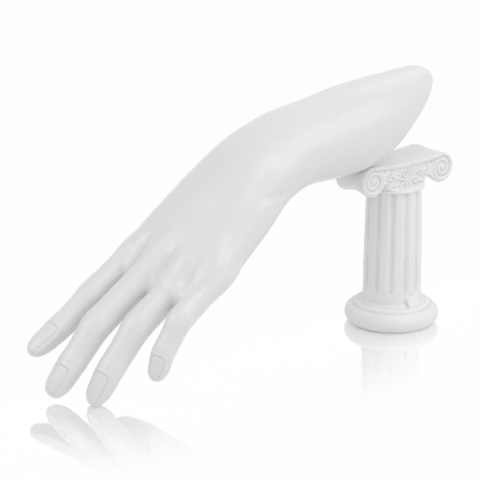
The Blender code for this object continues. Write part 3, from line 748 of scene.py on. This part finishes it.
def build_hand(look):
    """The hand and forearm as one skin, bedded on the capital and the table."""
    bm = bmesh.new()
    add_forearm_and_palm(bm)
    for name in FINGERS:
        add_finger(bm, name)
    hand = fuse(new_object("hand", bm), VOXEL, SMOOTH_PASSES)
    mesh = hand.data
    points = mesh_points(mesh)
    angle, lift = bedding(points)
    relax(mesh, web_weights(points) * 0.5, WEB_PASSES)
    relax(mesh, thumb_weights(points) * 0.5, THUMB_WEB_PASSES)

    points = mesh_points(mesh)
    near_nail = np.zeros(len(points), bool)
    for name in FINGERS:
        field = FingerField(name, points)
        distance, _ = nail_distance(field)
        near_nail |= (distance < NAIL_MARGIN) & (field.inside > 0.5) & (field.above > 0)
    refine(mesh, near_nail, NAIL_CUTS)

    points, normals = mesh_points(mesh), mesh_normals(mesh)
    height = back_of_hand_relief(points, look) * step(normals[:, 2], -0.3, 0.2)
    for name in FINGERS:
        height += finger_relief(name, points, look)
    points += normals * height[:, None]
    mesh.vertices.foreach_set("co", points.ravel())
    relax(mesh, web_weights(points) * 0.5, 10)

    points = mesh_points(mesh) @ np.array(Matrix.Rotation(angle, 3, "Y")).T
    points[:, 2] += lift
    x, y, _ = np.abs(points.T)
    for i in np.nonzero((x < SEAT_HALF_LENGTH) & (y < SLAB_DEPTH / 2 + SEAT_CLEARANCE))[0]:
        points[i, 2] = max(points[i, 2], top_height(points[i, 0], SEAT_CLEARANCE))
    points[:, 2] = np.maximum(points[:, 2], 0.0)
    mesh.vertices.foreach_set("co", points.ravel())
    mesh.update()
    mesh.shade_smooth()
    note_hollows(mesh, SKIN_HOLLOW)
    return hand


def prism(outline, half_depth, round_edges=0.0):
    """A closed mesh: an outline in X and Z, extruded both ways along Y, its edges rounded."""
    bm = bmesh.new()
    face = bm.faces.new([bm.verts.new((x, -half_depth, z)) for x, z in outline])
    made = bmesh.ops.extrude_face_region(bm, geom=[face])
    moved = [v for v in made["geom"] if isinstance(v, bmesh.types.BMVert)]
    bmesh.ops.translate(bm, verts=moved, vec=(0, 2 * half_depth, 0))
    bmesh.ops.recalc_face_normals(bm, faces=bm.faces)
    if round_edges:
        sharp = [e for e in bm.edges if e.calc_face_angle(0) > math.radians(40)]
        bmesh.ops.bevel(bm, geom=sharp, offset=round_edges, segments=3, profile=0.5, affect="EDGES")
    return bm


def turned(profile, steps, axis="Z"):
    """A closed mesh: a profile of radii and heights, spun once round an axis."""
    upright = axis == "Z"
    bm = bmesh.new()
    points = [bm.verts.new((r, 0, h) if upright else (r, h, 0)) for r, h in profile]
    edges = [bm.edges.new(pair) for pair in zip(points, points[1:])]
    along = (0, 0, 1) if upright else (0, 1, 0)
    bmesh.ops.spin(bm, geom=points + edges, cent=(0, 0, 0), axis=along, angle=2 * math.pi, steps=steps)
    bmesh.ops.remove_doubles(bm, verts=bm.verts, dist=0.01 * MM)
    bmesh.ops.recalc_face_normals(bm, faces=bm.faces)
    return bm


def take_in(bm, other, matrix=None):
    """Adds a copy of one bmesh to another, and frees it."""
    mesh = bpy.data.meshes.new("part")
    other.to_mesh(mesh)
    other.free()
    if matrix is not None:
        mesh.transform(matrix)
    bm.from_mesh(mesh)
    bpy.data.meshes.remove(mesh)


def bead(centre_r, centre_h, radius, start, end, count):
    """Points of a round moulding in a profile, from one angle to the other in degrees."""
    angles = [math.radians(start + (end - start) * i / (count - 1)) for i in range(count)]
    return [(centre_r + radius * math.cos(a), centre_h + radius * math.sin(a)) for a in angles]


def neck_height():
    """Height of the shaft's top, where the ring under the capital sits."""
    return slab_height(0) - SLAB_THICKNESS - ECHINUS_HEIGHT - 2 * ASTRAGAL_RADIUS


def shaft_profile():
    """Outer side of the shaft and foot, from inside the ring down to the table."""
    neck = neck_height()
    ledge_top = TORUS_HEIGHT + LEDGE_HEIGHT
    shaft_foot = ledge_top + 1.4 * MM
    profile = [(0, neck + ASTRAGAL_RADIUS), (SHAFT_NECK_RADIUS - 0.2 * MM, neck + ASTRAGAL_RADIUS)]
    for i in range(12):
        t = i / 11
        radius = SHAFT_NECK_RADIUS + (SHAFT_RADIUS - SHAFT_NECK_RADIUS) * math.sin(t * math.pi / 2)
        profile.append((radius, neck + (shaft_foot + 2.5 * MM - neck) * t))
    profile += [
        (SHAFT_RADIUS + 0.3 * MM, shaft_foot + 0.8 * MM),
        (SHAFT_RADIUS + 1.3 * MM, shaft_foot - 0.3 * MM),
        (SHAFT_RADIUS + 2.2 * MM, ledge_top + 0.3 * MM),
        (LEDGE_RADIUS - 0.8 * MM, ledge_top),
        (LEDGE_RADIUS, ledge_top - 0.5 * MM),
        (LEDGE_RADIUS + 0.1 * MM, TORUS_HEIGHT),
    ]
    half = TORUS_HEIGHT / 2
    for i in range(1, 20):
        angle = math.radians(72 - 142 * i / 19)
        profile.append((BASE_RADIUS - half + half * math.cos(angle), half + half * math.sin(angle)))
    profile += [(BASE_FOOT_RADIUS, 0), (0, 0)]
    return profile


def flute_bars():
    """Round-bottomed bars that cut the flutes. Their lower ends are rounded."""
    bar = (FLUTE_WIDTH**2 / 4 + FLUTE_DEPTH**2) / (2 * FLUTE_DEPTH)
    foot = TORUS_HEIGHT + LEDGE_HEIGHT + FLUTE_FOOT_GAP
    top = neck_height() - 0.3 * MM
    rings = [(foot + height * MM, share) for height, share in FLUTE_FOOT_ROUNDING]
    rings += [((foot + top) / 2, 1.0), (top, 1.0)]
    bm = bmesh.new()
    for k in range(FLUTES):
        bearing = 2 * math.pi * (k + 0.5) / FLUTES
        out = Vector((math.cos(bearing), math.sin(bearing), 0))
        across = Vector((-out.y, out.x, 0))
        circles = []
        for height, share in rings:
            along = (height - foot) / (top - foot)
            shaft = SHAFT_RADIUS + (SHAFT_NECK_RADIUS - SHAFT_RADIUS) * along**2
            centre = out * (shaft + bar - FLUTE_DEPTH) + Vector((0, 0, height))
            circles.append(ring_points(centre, across, out, bar * share, bar * share, 2.0, 28))
        loft(bm, circles)
    return bm


def tongue():
    """The flared lower end of one rib of the shaft, standing on the ledge."""
    ledge_top = TORUS_HEIGHT + LEDGE_HEIGHT
    inner = SHAFT_RADIUS - 2 * MM
    side = (
        (inner, ledge_top - 0.6 * MM),
        (SHAFT_RADIUS + TONGUE_REACH, ledge_top - 0.6 * MM),
        (SHAFT_RADIUS + TONGUE_REACH - 0.4 * MM, ledge_top + 0.9 * MM),
        (SHAFT_RADIUS + 0.35 * MM, ledge_top + TONGUE_RISE),
        (inner, ledge_top + TONGUE_RISE + 1.0 * MM),
    )
    return prism(side, TONGUE_WIDTH / 2, 0.5 * MM)


def build_shaft(look):
    """Foot, fluted shaft and tongue, cast in one with soft edges."""
    shaft = new_object("column_shaft", turned(shaft_profile(), 120))
    bars = new_object("flutes", flute_bars())
    cut = shaft.modifiers.new("flutes", "BOOLEAN")
    cut.solver = "EXACT"
    cut.operation = "DIFFERENCE"
    cut.object = bars
    bake_modifiers(shaft)
    bpy.data.objects.remove(bars, do_unlink=True)
    bm = bmesh.new()
    bm.from_mesh(shaft.data)
    take_in(bm, tongue(), Matrix.Rotation(TONGUE_BEARING, 4, "Z"))
    bm.to_mesh(shaft.data)
    bm.free()
    return finish_casting(shaft, look.shaft_voxel, 4)


def bolster():
    """The waisted roll between a front and a back volute."""
    half = VOLUTE_DEPTH / 2
    rows = (
        (0, half),
        (VOLUTE_RADIUS - 0.9 * MM, half),
        (VOLUTE_RADIUS - 0.25 * MM, half - 0.2 * MM),
        (VOLUTE_RADIUS, half - 0.8 * MM),
        (VOLUTE_RADIUS, half - 1.8 * MM),
        ((VOLUTE_RADIUS + VOLUTE_WAIST) / 2, half * 0.55),
        (VOLUTE_WAIST + 0.25 * MM, half * 0.3),
        (VOLUTE_WAIST, 0),
    )
    return turned(list(rows) + [(r, -h) for r, h in reversed(rows[:-1])], 72, "Y")


def volute_spiral(side, face):
    """Centre line of one spiral ridge, from the top of its volute in to the eye, with its radii."""
    centre_x = side * VOLUTE_SPACING / 2
    count = int(VOLUTE_TURNS * 32)
    rows = []
    for i in range(count + 1):
        t = i / count
        angle = math.pi / 2 - side * 2 * math.pi * VOLUTE_TURNS * t
        radius = (VOLUTE_RADIUS - VOLUTE_RIDGE) * (1 - t) ** 0.9 + EYE_RADIUS * 0.55 * t
        x = centre_x + radius * math.cos(angle)
        z = volute_height() + radius * math.sin(angle)
        rows.append(((x, face * VOLUTE_DEPTH / 2, z), VOLUTE_RIDGE * (1.15 - 0.3 * t)))
    return rows


def ridges(look):
    """The four spiral ridges as one mesh of round bars, made from a bevelled curve."""
    curve = bpy.data.curves.new("ridges", "CURVE")
    curve.dimensions = "3D"
    curve.bevel_depth = 1.0
    curve.bevel_resolution = 4
    curve.use_fill_caps = True
    for side in (-1, 1):
        for face in (-1, 1):
            rows = volute_spiral(side, face)
            spline = curve.splines.new("POLY")
            spline.points.add(len(rows) - 1)
            for point, (place, radius) in zip(spline.points, rows):
                point.co = (*place, 1.0)
                point.radius = radius * look.ridge
    source = bpy.data.objects.new("ridges", curve)
    bpy.context.scene.collection.objects.link(source)
    depsgraph = bpy.context.evaluated_depsgraph_get()
    mesh = bpy.data.meshes.new_from_object(source.evaluated_get(depsgraph), depsgraph=depsgraph)
    bpy.data.objects.remove(source, do_unlink=True)
    bm = bmesh.new()
    bm.from_mesh(mesh)
    bpy.data.meshes.remove(mesh)
    bmesh.ops.remove_doubles(bm, verts=bm.verts, dist=0.01 * MM)
    bmesh.ops.recalc_face_normals(bm, faces=bm.faces)
    return bm


def add_leaf(bm, out, height, lean, length, width, face, relief):
    """A pointed leaf with a rounded back, lying on the carved panel of one face."""
    made = bmesh.ops.create_uvsphere(bm, u_segments=14, v_segments=12, radius=1.0)
    place = Matrix.Translation((out, face * PANEL_DEPTH / 2, height)) @ Matrix.Rotation(lean, 4, "Y")
    for vert in made["verts"]:
        x, y, z = vert.co
        taper = max(0.0, 1 - abs(z)) ** 0.35
        vert.co = place @ Vector((x * taper * width / 2, y * taper * relief, z * length / 2))


def add_ball(bm, radius, *centre):
    """A ball for a bud or for the eye of a scroll."""
    matrix = Matrix.Translation(centre)
    bmesh.ops.create_uvsphere(bm, u_segments=20, v_segments=14, radius=radius, matrix=matrix)


def carving(bm, look):
    """The fan of leaves on both faces of the panel, with a bud and side leaves at each end."""
    middle = neck_height() + 2 * ASTRAGAL_RADIUS + ECHINUS_HEIGHT * 0.47
    for face in (-1, 1):
        for k in range(FAN_LEAVES):
            lean = FAN_SPREAD * (2 * k / (FAN_LEAVES - 1) - 1)
            out, rise = math.sin(lean) * FAN_RADIUS, math.cos(lean) * FAN_RADIUS - FAN_DROP
            add_leaf(bm, out, middle + rise, lean, FAN_LEAF_LENGTH, FAN_LEAF_WIDTH, face, look.leaf)
        for side in (-1, 1):
            for out, up, lean, length, width in SIDE_LEAVES:
                place = side * out * MM, middle + up * MM, side * math.radians(lean)
                add_leaf(bm, *place, length * MM, width * MM, face, look.leaf)
            sunk = PANEL_DEPTH / 2 - 0.1 * BUD_RADIUS
            add_ball(bm, BUD_RADIUS, side * BUD_OUT, face * sunk, middle + BUD_UP)


def echinus():
    """The bowl under the slab, flat in front and behind, and round again at its foot."""
    foot = neck_height() + 2 * ASTRAGAL_RADIUS
    top = foot + ECHINUS_HEIGHT + 0.2 * MM
    shares = np.linspace(0, 1, 18)
    bulges = smooth_between(*zip(*BOWL_BULGES), shares)
    profile = [(0, top)]
    profile += [(SHAFT_RADIUS + ECHINUS_BULGE * b, top + (foot - top) * s) for s, b in zip(shares, bulges)]
    profile += [(0, foot)]
    bowl = turned(profile, 120)
    for vert in bowl.verts:
        near_foot = 1 - step(vert.co.z, foot, foot + BOWL_FOOT_REACH)
        reach = PANEL_DEPTH / 2 + (SHAFT_RADIUS - PANEL_DEPTH / 2) * near_foot
        vert.co.y /= (1 + abs(vert.co.y / reach) ** BOWL_SQUARENESS) ** (1 / BOWL_SQUARENESS)
    return bowl


def neck_ring():
    """The round moulding between shaft and bowl, whose skirt reaches into both."""
    neck = neck_height()
    top = neck + 2 * ASTRAGAL_RADIUS + 0.8 * MM
    profile = [(0, top), (SHAFT_NECK_RADIUS, top)]
    profile += bead(SHAFT_NECK_RADIUS + 0.7 * MM, neck + ASTRAGAL_RADIUS, ASTRAGAL_RADIUS, 80, -80, 11)
    profile += [(SHAFT_NECK_RADIUS - 0.3 * MM, neck), (0, neck)]
    return turned(profile, 120)


def stations(reach):
    """Places along the slab, from one end to the other."""
    return [reach * (i / 16 - 1) for i in range(33)]


def slab_layers():
    """The slab's lip and the thinner band under it, the channel, and the block behind the panel."""
    ends = VOLUTE_SPACING / 2
    under = [(x, slab_height(x) - SLAB_THICKNESS + 0.2 * MM) for x in stations(ends)]
    low = volute_height() + VOLUTE_RADIUS - CHANNEL_HEIGHT
    channel = under + [(ends, low), (0, low - 0.8 * MM), (-ends, low)]
    inside_roll = ends - VOLUTE_RADIUS * 0.5
    beside_roll = ends - VOLUTE_RADIUS * 0.94
    right = [
        (beside_roll + 1.0 * MM, low + 1.0 * MM),
        (inside_roll, volute_height()),
        (beside_roll, volute_height() - 3.0 * MM),
        (11.0 * MM, neck_height() + 2 * ASTRAGAL_RADIUS + 4.5 * MM),
    ]
    crown = [(x, z) for x, z in under if abs(x) < beside_roll]
    block = crown + right + [(-x, z) for x, z in reversed(right)]
    layers = [prism(channel, CHANNEL_DEPTH / 2), prism(block, (PANEL_DEPTH + CHANNEL_DEPTH) / 4)]
    split = SLAB_THICKNESS * 0.55
    for drop, thickness, inset in ((split, SLAB_THICKNESS - split, FASCIA_INSET), (0, split, 0)):
        xs = stations(SLAB_LENGTH / 2 - inset)
        upper = [(x, slab_height(x) - drop + (0.1 * MM if drop else 0)) for x in xs]
        lower = [(x, slab_height(x) - drop - thickness) for x in reversed(xs)]
        layers.append(prism(upper + lower, SLAB_DEPTH / 2 - inset, 0.4 * MM))
    return layers


def finish_casting(obj, voxel, passes):
    """Fuses a casting, shades it smooth and notes its hollows for the paint."""
    fuse(obj, voxel, passes)
    obj.data.shade_smooth()
    note_hollows(obj.data, voxel * 0.06)
    return obj


def build_capital(look):
    """Slab, scrolls, bowl and carving, cast in one with soft edges."""
    bm = bmesh.new()
    for piece in [echinus(), neck_ring(), ridges(look), *slab_layers()]:
        take_in(bm, piece)
    for side in (-1, 1):
        x, z = side * VOLUTE_SPACING / 2, volute_height()
        take_in(bm, bolster(), Matrix.Translation((x, 0, z)))
        for face in (-1, 1):
            add_ball(bm, EYE_RADIUS, x, face * VOLUTE_DEPTH / 2, z)
    carving(bm, look)
    capital = new_object("column_capital", bm)
    return finish_casting(capital, look.capital_voxel, 3)


COLOUR = {"subtype": "COLOR", "size": 3, "min": 0, "max": 1}
SHARE = {"min": 0, "max": 1}


class HandLook(bpy.types.PropertyGroup):
    """Sizes and paint of the hand."""

    colour: FloatVectorProperty(
        name="Colour", description="Paint on the hand", default=(0.83, 0.83, 0.84), **COLOUR
    )
    painted_shade_colour: FloatVectorProperty(
        # Painted shade: the darker colour that the paint takes in creases.
        name="Hollow colour", description="Paint in creases", default=(0.76, 0.75, 0.74), **COLOUR
    )
    painted_highlight_colour: FloatVectorProperty(
        # Painted highlight: the lighter colour that the paint takes on high places.
        name="Ridge colour", description="Rubbed high places", default=(0.91, 0.91, 0.92), **COLOUR
    )
    roughness: FloatProperty(name="Roughness", description="How matt the paint is", default=0.34, **SHARE)
    coat: FloatProperty(name="Coat", description="Weight of the clear gloss", default=0.35, **SHARE)
    peel: FloatProperty(name="Peel", description="Unevenness of the paint", default=0.35, **SHARE)
    nail_groove: FloatProperty(
        name="Nail groove", description="Depth of the line round a nail", default=0.42 * MM, unit="LENGTH"
    )
    crease: FloatProperty(
        name="Crease", description="Depth of the joint lines", default=0.13 * MM, unit="LENGTH"
    )
    knuckle: FloatProperty(
        name="Knuckle", description="Height of the knuckles", default=0.7 * MM, unit="LENGTH"
    )
    valley: FloatProperty(
        name="Valley", description="Depth between the knuckles", default=2.0 * MM, unit="LENGTH"
    )


class ColumnLook(bpy.types.PropertyGroup):
    """Sizes and paint of the column."""

    colour: FloatVectorProperty(
        name="Colour", description="Paint on the column", default=(0.92, 0.92, 0.92), **COLOUR
    )
    # Painted shade: the darker colour that the paint takes in grooves.
    painted_shade_colour: FloatVectorProperty(
        name="Hollow colour", description="Paint in grooves", default=(0.72, 0.72, 0.72), **COLOUR
    )
    # Painted highlight: the lighter colour that the paint takes on edges.
    painted_highlight_colour: FloatVectorProperty(
        name="Ridge colour", description="Rubbed edges", default=(0.94, 0.94, 0.94), **COLOUR
    )
    roughness: FloatProperty(name="Roughness", description="How matt the paint is", default=0.45, **SHARE)
    coat: FloatProperty(name="Coat", description="Weight of the clear gloss", default=0.15, **SHARE)
    peel: FloatProperty(name="Peel", description="Unevenness of the paint", default=0.5, **SHARE)
    ridge: FloatProperty(
        name="Ridge", description="Thickness of the spirals as a factor", default=1.0, min=0.5, max=1.5
    )
    leaf: FloatProperty(
        name="Leaf", description="How far the leaves stand out", default=1.0 * MM, unit="LENGTH"
    )
    shaft_voxel: FloatProperty(
        name="Shaft voxel", description="Fineness of shaft and foot", default=0.5 * MM, unit="LENGTH"
    )
    capital_voxel: FloatProperty(
        name="Capital voxel", description="Fineness of the capital", default=0.35 * MM, unit="LENGTH"
    )


class StageLook(bpy.types.PropertyGroup):
    """Floor, lamps and camera."""

    floor_colour: FloatVectorProperty(
        name="Floor colour", description="Pale floor", default=(0.93, 0.93, 0.93), **COLOUR
    )
    glow: FloatProperty(name="Glow", description="White share of the floor as seen", default=0.95, **SHARE)
    polish: FloatProperty(name="Polish", description="Mirror share under the object", default=0.62, **SHARE)
    polish_reach: FloatProperty(
        name="Polish reach", description="How far from the object it fades", default=0.1, unit="LENGTH"
    )
    key: FloatProperty(name="Key", description="Wide lamp on the right", default=5.4, unit="POWER")
    top: FloatProperty(name="Top", description="Lamp over the camera", default=2.1, unit="POWER")
    rear: FloatProperty(name="Rear", description="Lamp behind on the right", default=0.3, unit="POWER")
    side: FloatProperty(name="Side", description="Lamp on the left", default=1.6, unit="POWER")
    world: FloatProperty(name="World", description="Light from all round", default=0.5, min=0)
    azimuth: FloatProperty(
        name="Azimuth", description="Camera bearing", subtype="ANGLE", default=math.radians(-38.0)
    )
    elevation: FloatProperty(
        name="Elevation", description="Camera above level", subtype="ANGLE", default=math.radians(17.5)
    )
    distance: FloatProperty(
        name="Distance", description="Camera depth to the column", default=1.2, unit="LENGTH"
    )
    pixels_per_metre: IntProperty(name="Scale", description="Image scale at that depth", default=1667)


def paint(obj, material, slot, node):
    """Paints a piece, lets it ride with the stand and stand for its solid."""
    obj.data.materials.append(material)
    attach(obj, "root")
    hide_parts(node)


class STAND_OT_hand(bpy.types.Operator):
    """Builds and paints the hand and forearm"""

    bl_idname = "stand.hand"
    bl_label = "Hand and forearm"

    def execute(self, context):
        look = context.scene.stand_hand
        paint(build_hand(look), white_paint("hand_paint", look), "hand_paint", "hand_and_forearm")
        return {"FINISHED"}


class STAND_OT_column(bpy.types.Operator):
    """Builds and paints the column: foot, shaft and capital"""

    bl_idname = "stand.column"
    bl_label = "Column"

    def execute(self, context):
        look = context.scene.stand_column
        material = white_paint("column_paint", look)
        for piece in (build_shaft(look), build_capital(look)):
            paint(piece, material, "column_paint", "column")
        return {"FINISHED"}


def area_lamp(name, place, size, power):
    """A soft square lamp that looks at the middle of the stand."""
    data = bpy.data.lights.new(name, "AREA")
    data.size = size
    data.energy = power
    lamp = bpy.data.objects.new(name, data)
    bpy.context.scene.collection.objects.link(lamp)
    lamp.location = place
    lamp.rotation_mode = "QUATERNION"
    lamp.rotation_quaternion = (Vector(LAMP_AIM) - Vector(place)).to_track_quat("-Z", "Y")


def floor_material(look):
    """Pale floor, near white as the camera sees it, polished where the object stands."""
    material = bpy.data.materials.new("floor")
    material.use_nodes = True
    tree = material.node_tree
    shader = tree.nodes["Principled BSDF"]
    shader.inputs["Base Color"].default_value = (*look.floor_colour, 1)
    shader.inputs["Roughness"].default_value = 0.5
    base = Wire(tree)
    white = base.add("ShaderNodeEmission", {}, {"Color": (1, 1, 1, 1), "Strength": 1.0})
    mirror = base.add("ShaderNodeBsdfGlossy", {}, {"Color": (1, 1, 1, 1), "Roughness": 0.02})
    camera = base.add("ShaderNodeLightPath", output="Is Camera Ray")
    glossy = base.add("ShaderNodeLightPath", output="Is Glossy Ray")
    shown = base.calculate("MAXIMUM", camera, glossy) * look.glow
    place = base.add("ShaderNodeTexCoord", output="Object")
    across = base.add("ShaderNodeSeparateXYZ", {}, {"Vector": place}, output=1)
    faded = base.add(
        "ShaderNodeMapRange",
        {"interpolation_type": "SMOOTHSTEP"},
        {
            "Value": base.calculate("ABSOLUTE", across),
            "From Min": 0.0,
            "From Max": look.polish_reach,
            "To Min": look.polish,
            "To Max": 0.0,
        },
    )
    lit = Wire(tree, shader.outputs["BSDF"])
    plain = base.add("ShaderNodeMixShader", {}, {0: shown, 1: lit, 2: white})
    mixed = base.add("ShaderNodeMixShader", {}, {0: faded * camera, 1: plain, 2: mirror})
    tree.links.new(mixed.socket, tree.nodes["Material Output"].inputs["Surface"])
    return material


class STAND_OT_stage(bpy.types.Operator):
    """Builds the floor, lamps, world and camera"""

    bl_idname = "stand.stage"
    bl_label = "Stage"

    def execute(self, context):
        look = context.scene.stand_stage
        bm = bmesh.new()
        bmesh.ops.create_grid(bm, x_segments=1, y_segments=1, size=FLOOR_HALF)
        floor = new_object("floor", bm)
        floor.data.materials.append(floor_material(look))

        area_lamp("key", (0.3, -0.95, 1.0), 1.2, look.key)
        area_lamp("top", (-0.4, -0.4, 1.2), 0.6, look.top)
        area_lamp("rear", (0.55, 0.3, 0.75), 0.4, look.rear)
        area_lamp("side", (-1.0, 0.35, 0.75), 0.5, look.side)

        world = bpy.data.worlds.new("studio")
        context.scene.world = world
        world.use_nodes = True
        background = world.node_tree.nodes["Background"]
        background.inputs["Color"].default_value = (1, 1, 1, 1)
        light = Wire(world.node_tree)
        camera_ray = light.add("ShaderNodeLightPath", output="Is Camera Ray")
        glossy_ray = light.add("ShaderNodeLightPath", output="Is Glossy Ray")
        seen = light.calculate("MAXIMUM", camera_ray, glossy_ray)
        strength = seen * (1 - look.world) + look.world
        strength.feed(background, "Strength")

        back = Vector(
            (
                math.sin(look.azimuth) * math.cos(look.elevation),
                -math.cos(look.azimuth) * math.cos(look.elevation),
                math.sin(look.elevation),
            )
        )
        right = Vector((math.cos(look.azimuth), math.sin(look.azimuth), 0))
        up = back.cross(right)
        out = (FOOT_PIXEL[0] - FRAME_PIXELS / 2) / look.pixels_per_metre
        drop = (FOOT_PIXEL[1] - FRAME_PIXELS / 2) / look.pixels_per_metre
        data = bpy.data.cameras.new("camera")
        data.sensor_width = SENSOR
        data.lens = SENSOR * look.distance * look.pixels_per_metre / FRAME_PIXELS
        data.clip_start = 0.01
        data.clip_end = 20.0
        camera = bpy.data.objects.new("camera", data)
        context.scene.collection.objects.link(camera)
        camera.matrix_world = Matrix.Translation(back * look.distance - right * out + up * drop) @ Matrix(
            (right, up, back)
        ).transposed().to_4x4()
        context.scene.camera = camera
        context.scene.view_settings.view_transform = "Standard"
        return {"FINISHED"}


class STAND_PT_panel(bpy.types.Panel):
    """Lists the steps that build the stand"""

    bl_label = "Hand jewellery stand"
    bl_idname = "STAND_PT_panel"
    bl_space_type = "VIEW_3D"
    bl_region_type = "UI"
    bl_category = "Stand"

    def draw(self, context):
        for settings, operator in STEPS:
            box = self.layout.box()
            group = getattr(context.scene, settings)
            for name in group.__annotations__:
                box.prop(group, name)
            box.operator(operator)


STEPS = (("stand_hand", "stand.hand"), ("stand_column", "stand.column"), ("stand_stage", "stand.stage"))
GROUPS = (("stand_hand", HandLook), ("stand_column", ColumnLook), ("stand_stage", StageLook))
CLASSES = (HandLook, ColumnLook, StageLook, STAND_OT_hand, STAND_OT_column, STAND_OT_stage, STAND_PT_panel)


def register():
    """Adds the classes and their settings."""
    for cls in CLASSES:
        bpy.utils.register_class(cls)
    for name, group in GROUPS:
        setattr(bpy.types.Scene, name, PointerProperty(type=group))


def unregister():
    """Takes the settings and the classes away again."""
    for name, _ in GROUPS:
        delattr(bpy.types.Scene, name)
    for cls in reversed(CLASSES):
        bpy.utils.unregister_class(cls)


def main():
    """Builds everything in order."""
    register()
    bpy.ops.stand.hand()
    bpy.ops.stand.column()
    bpy.ops.stand.stage()


if __name__ == "__main__":
    main()
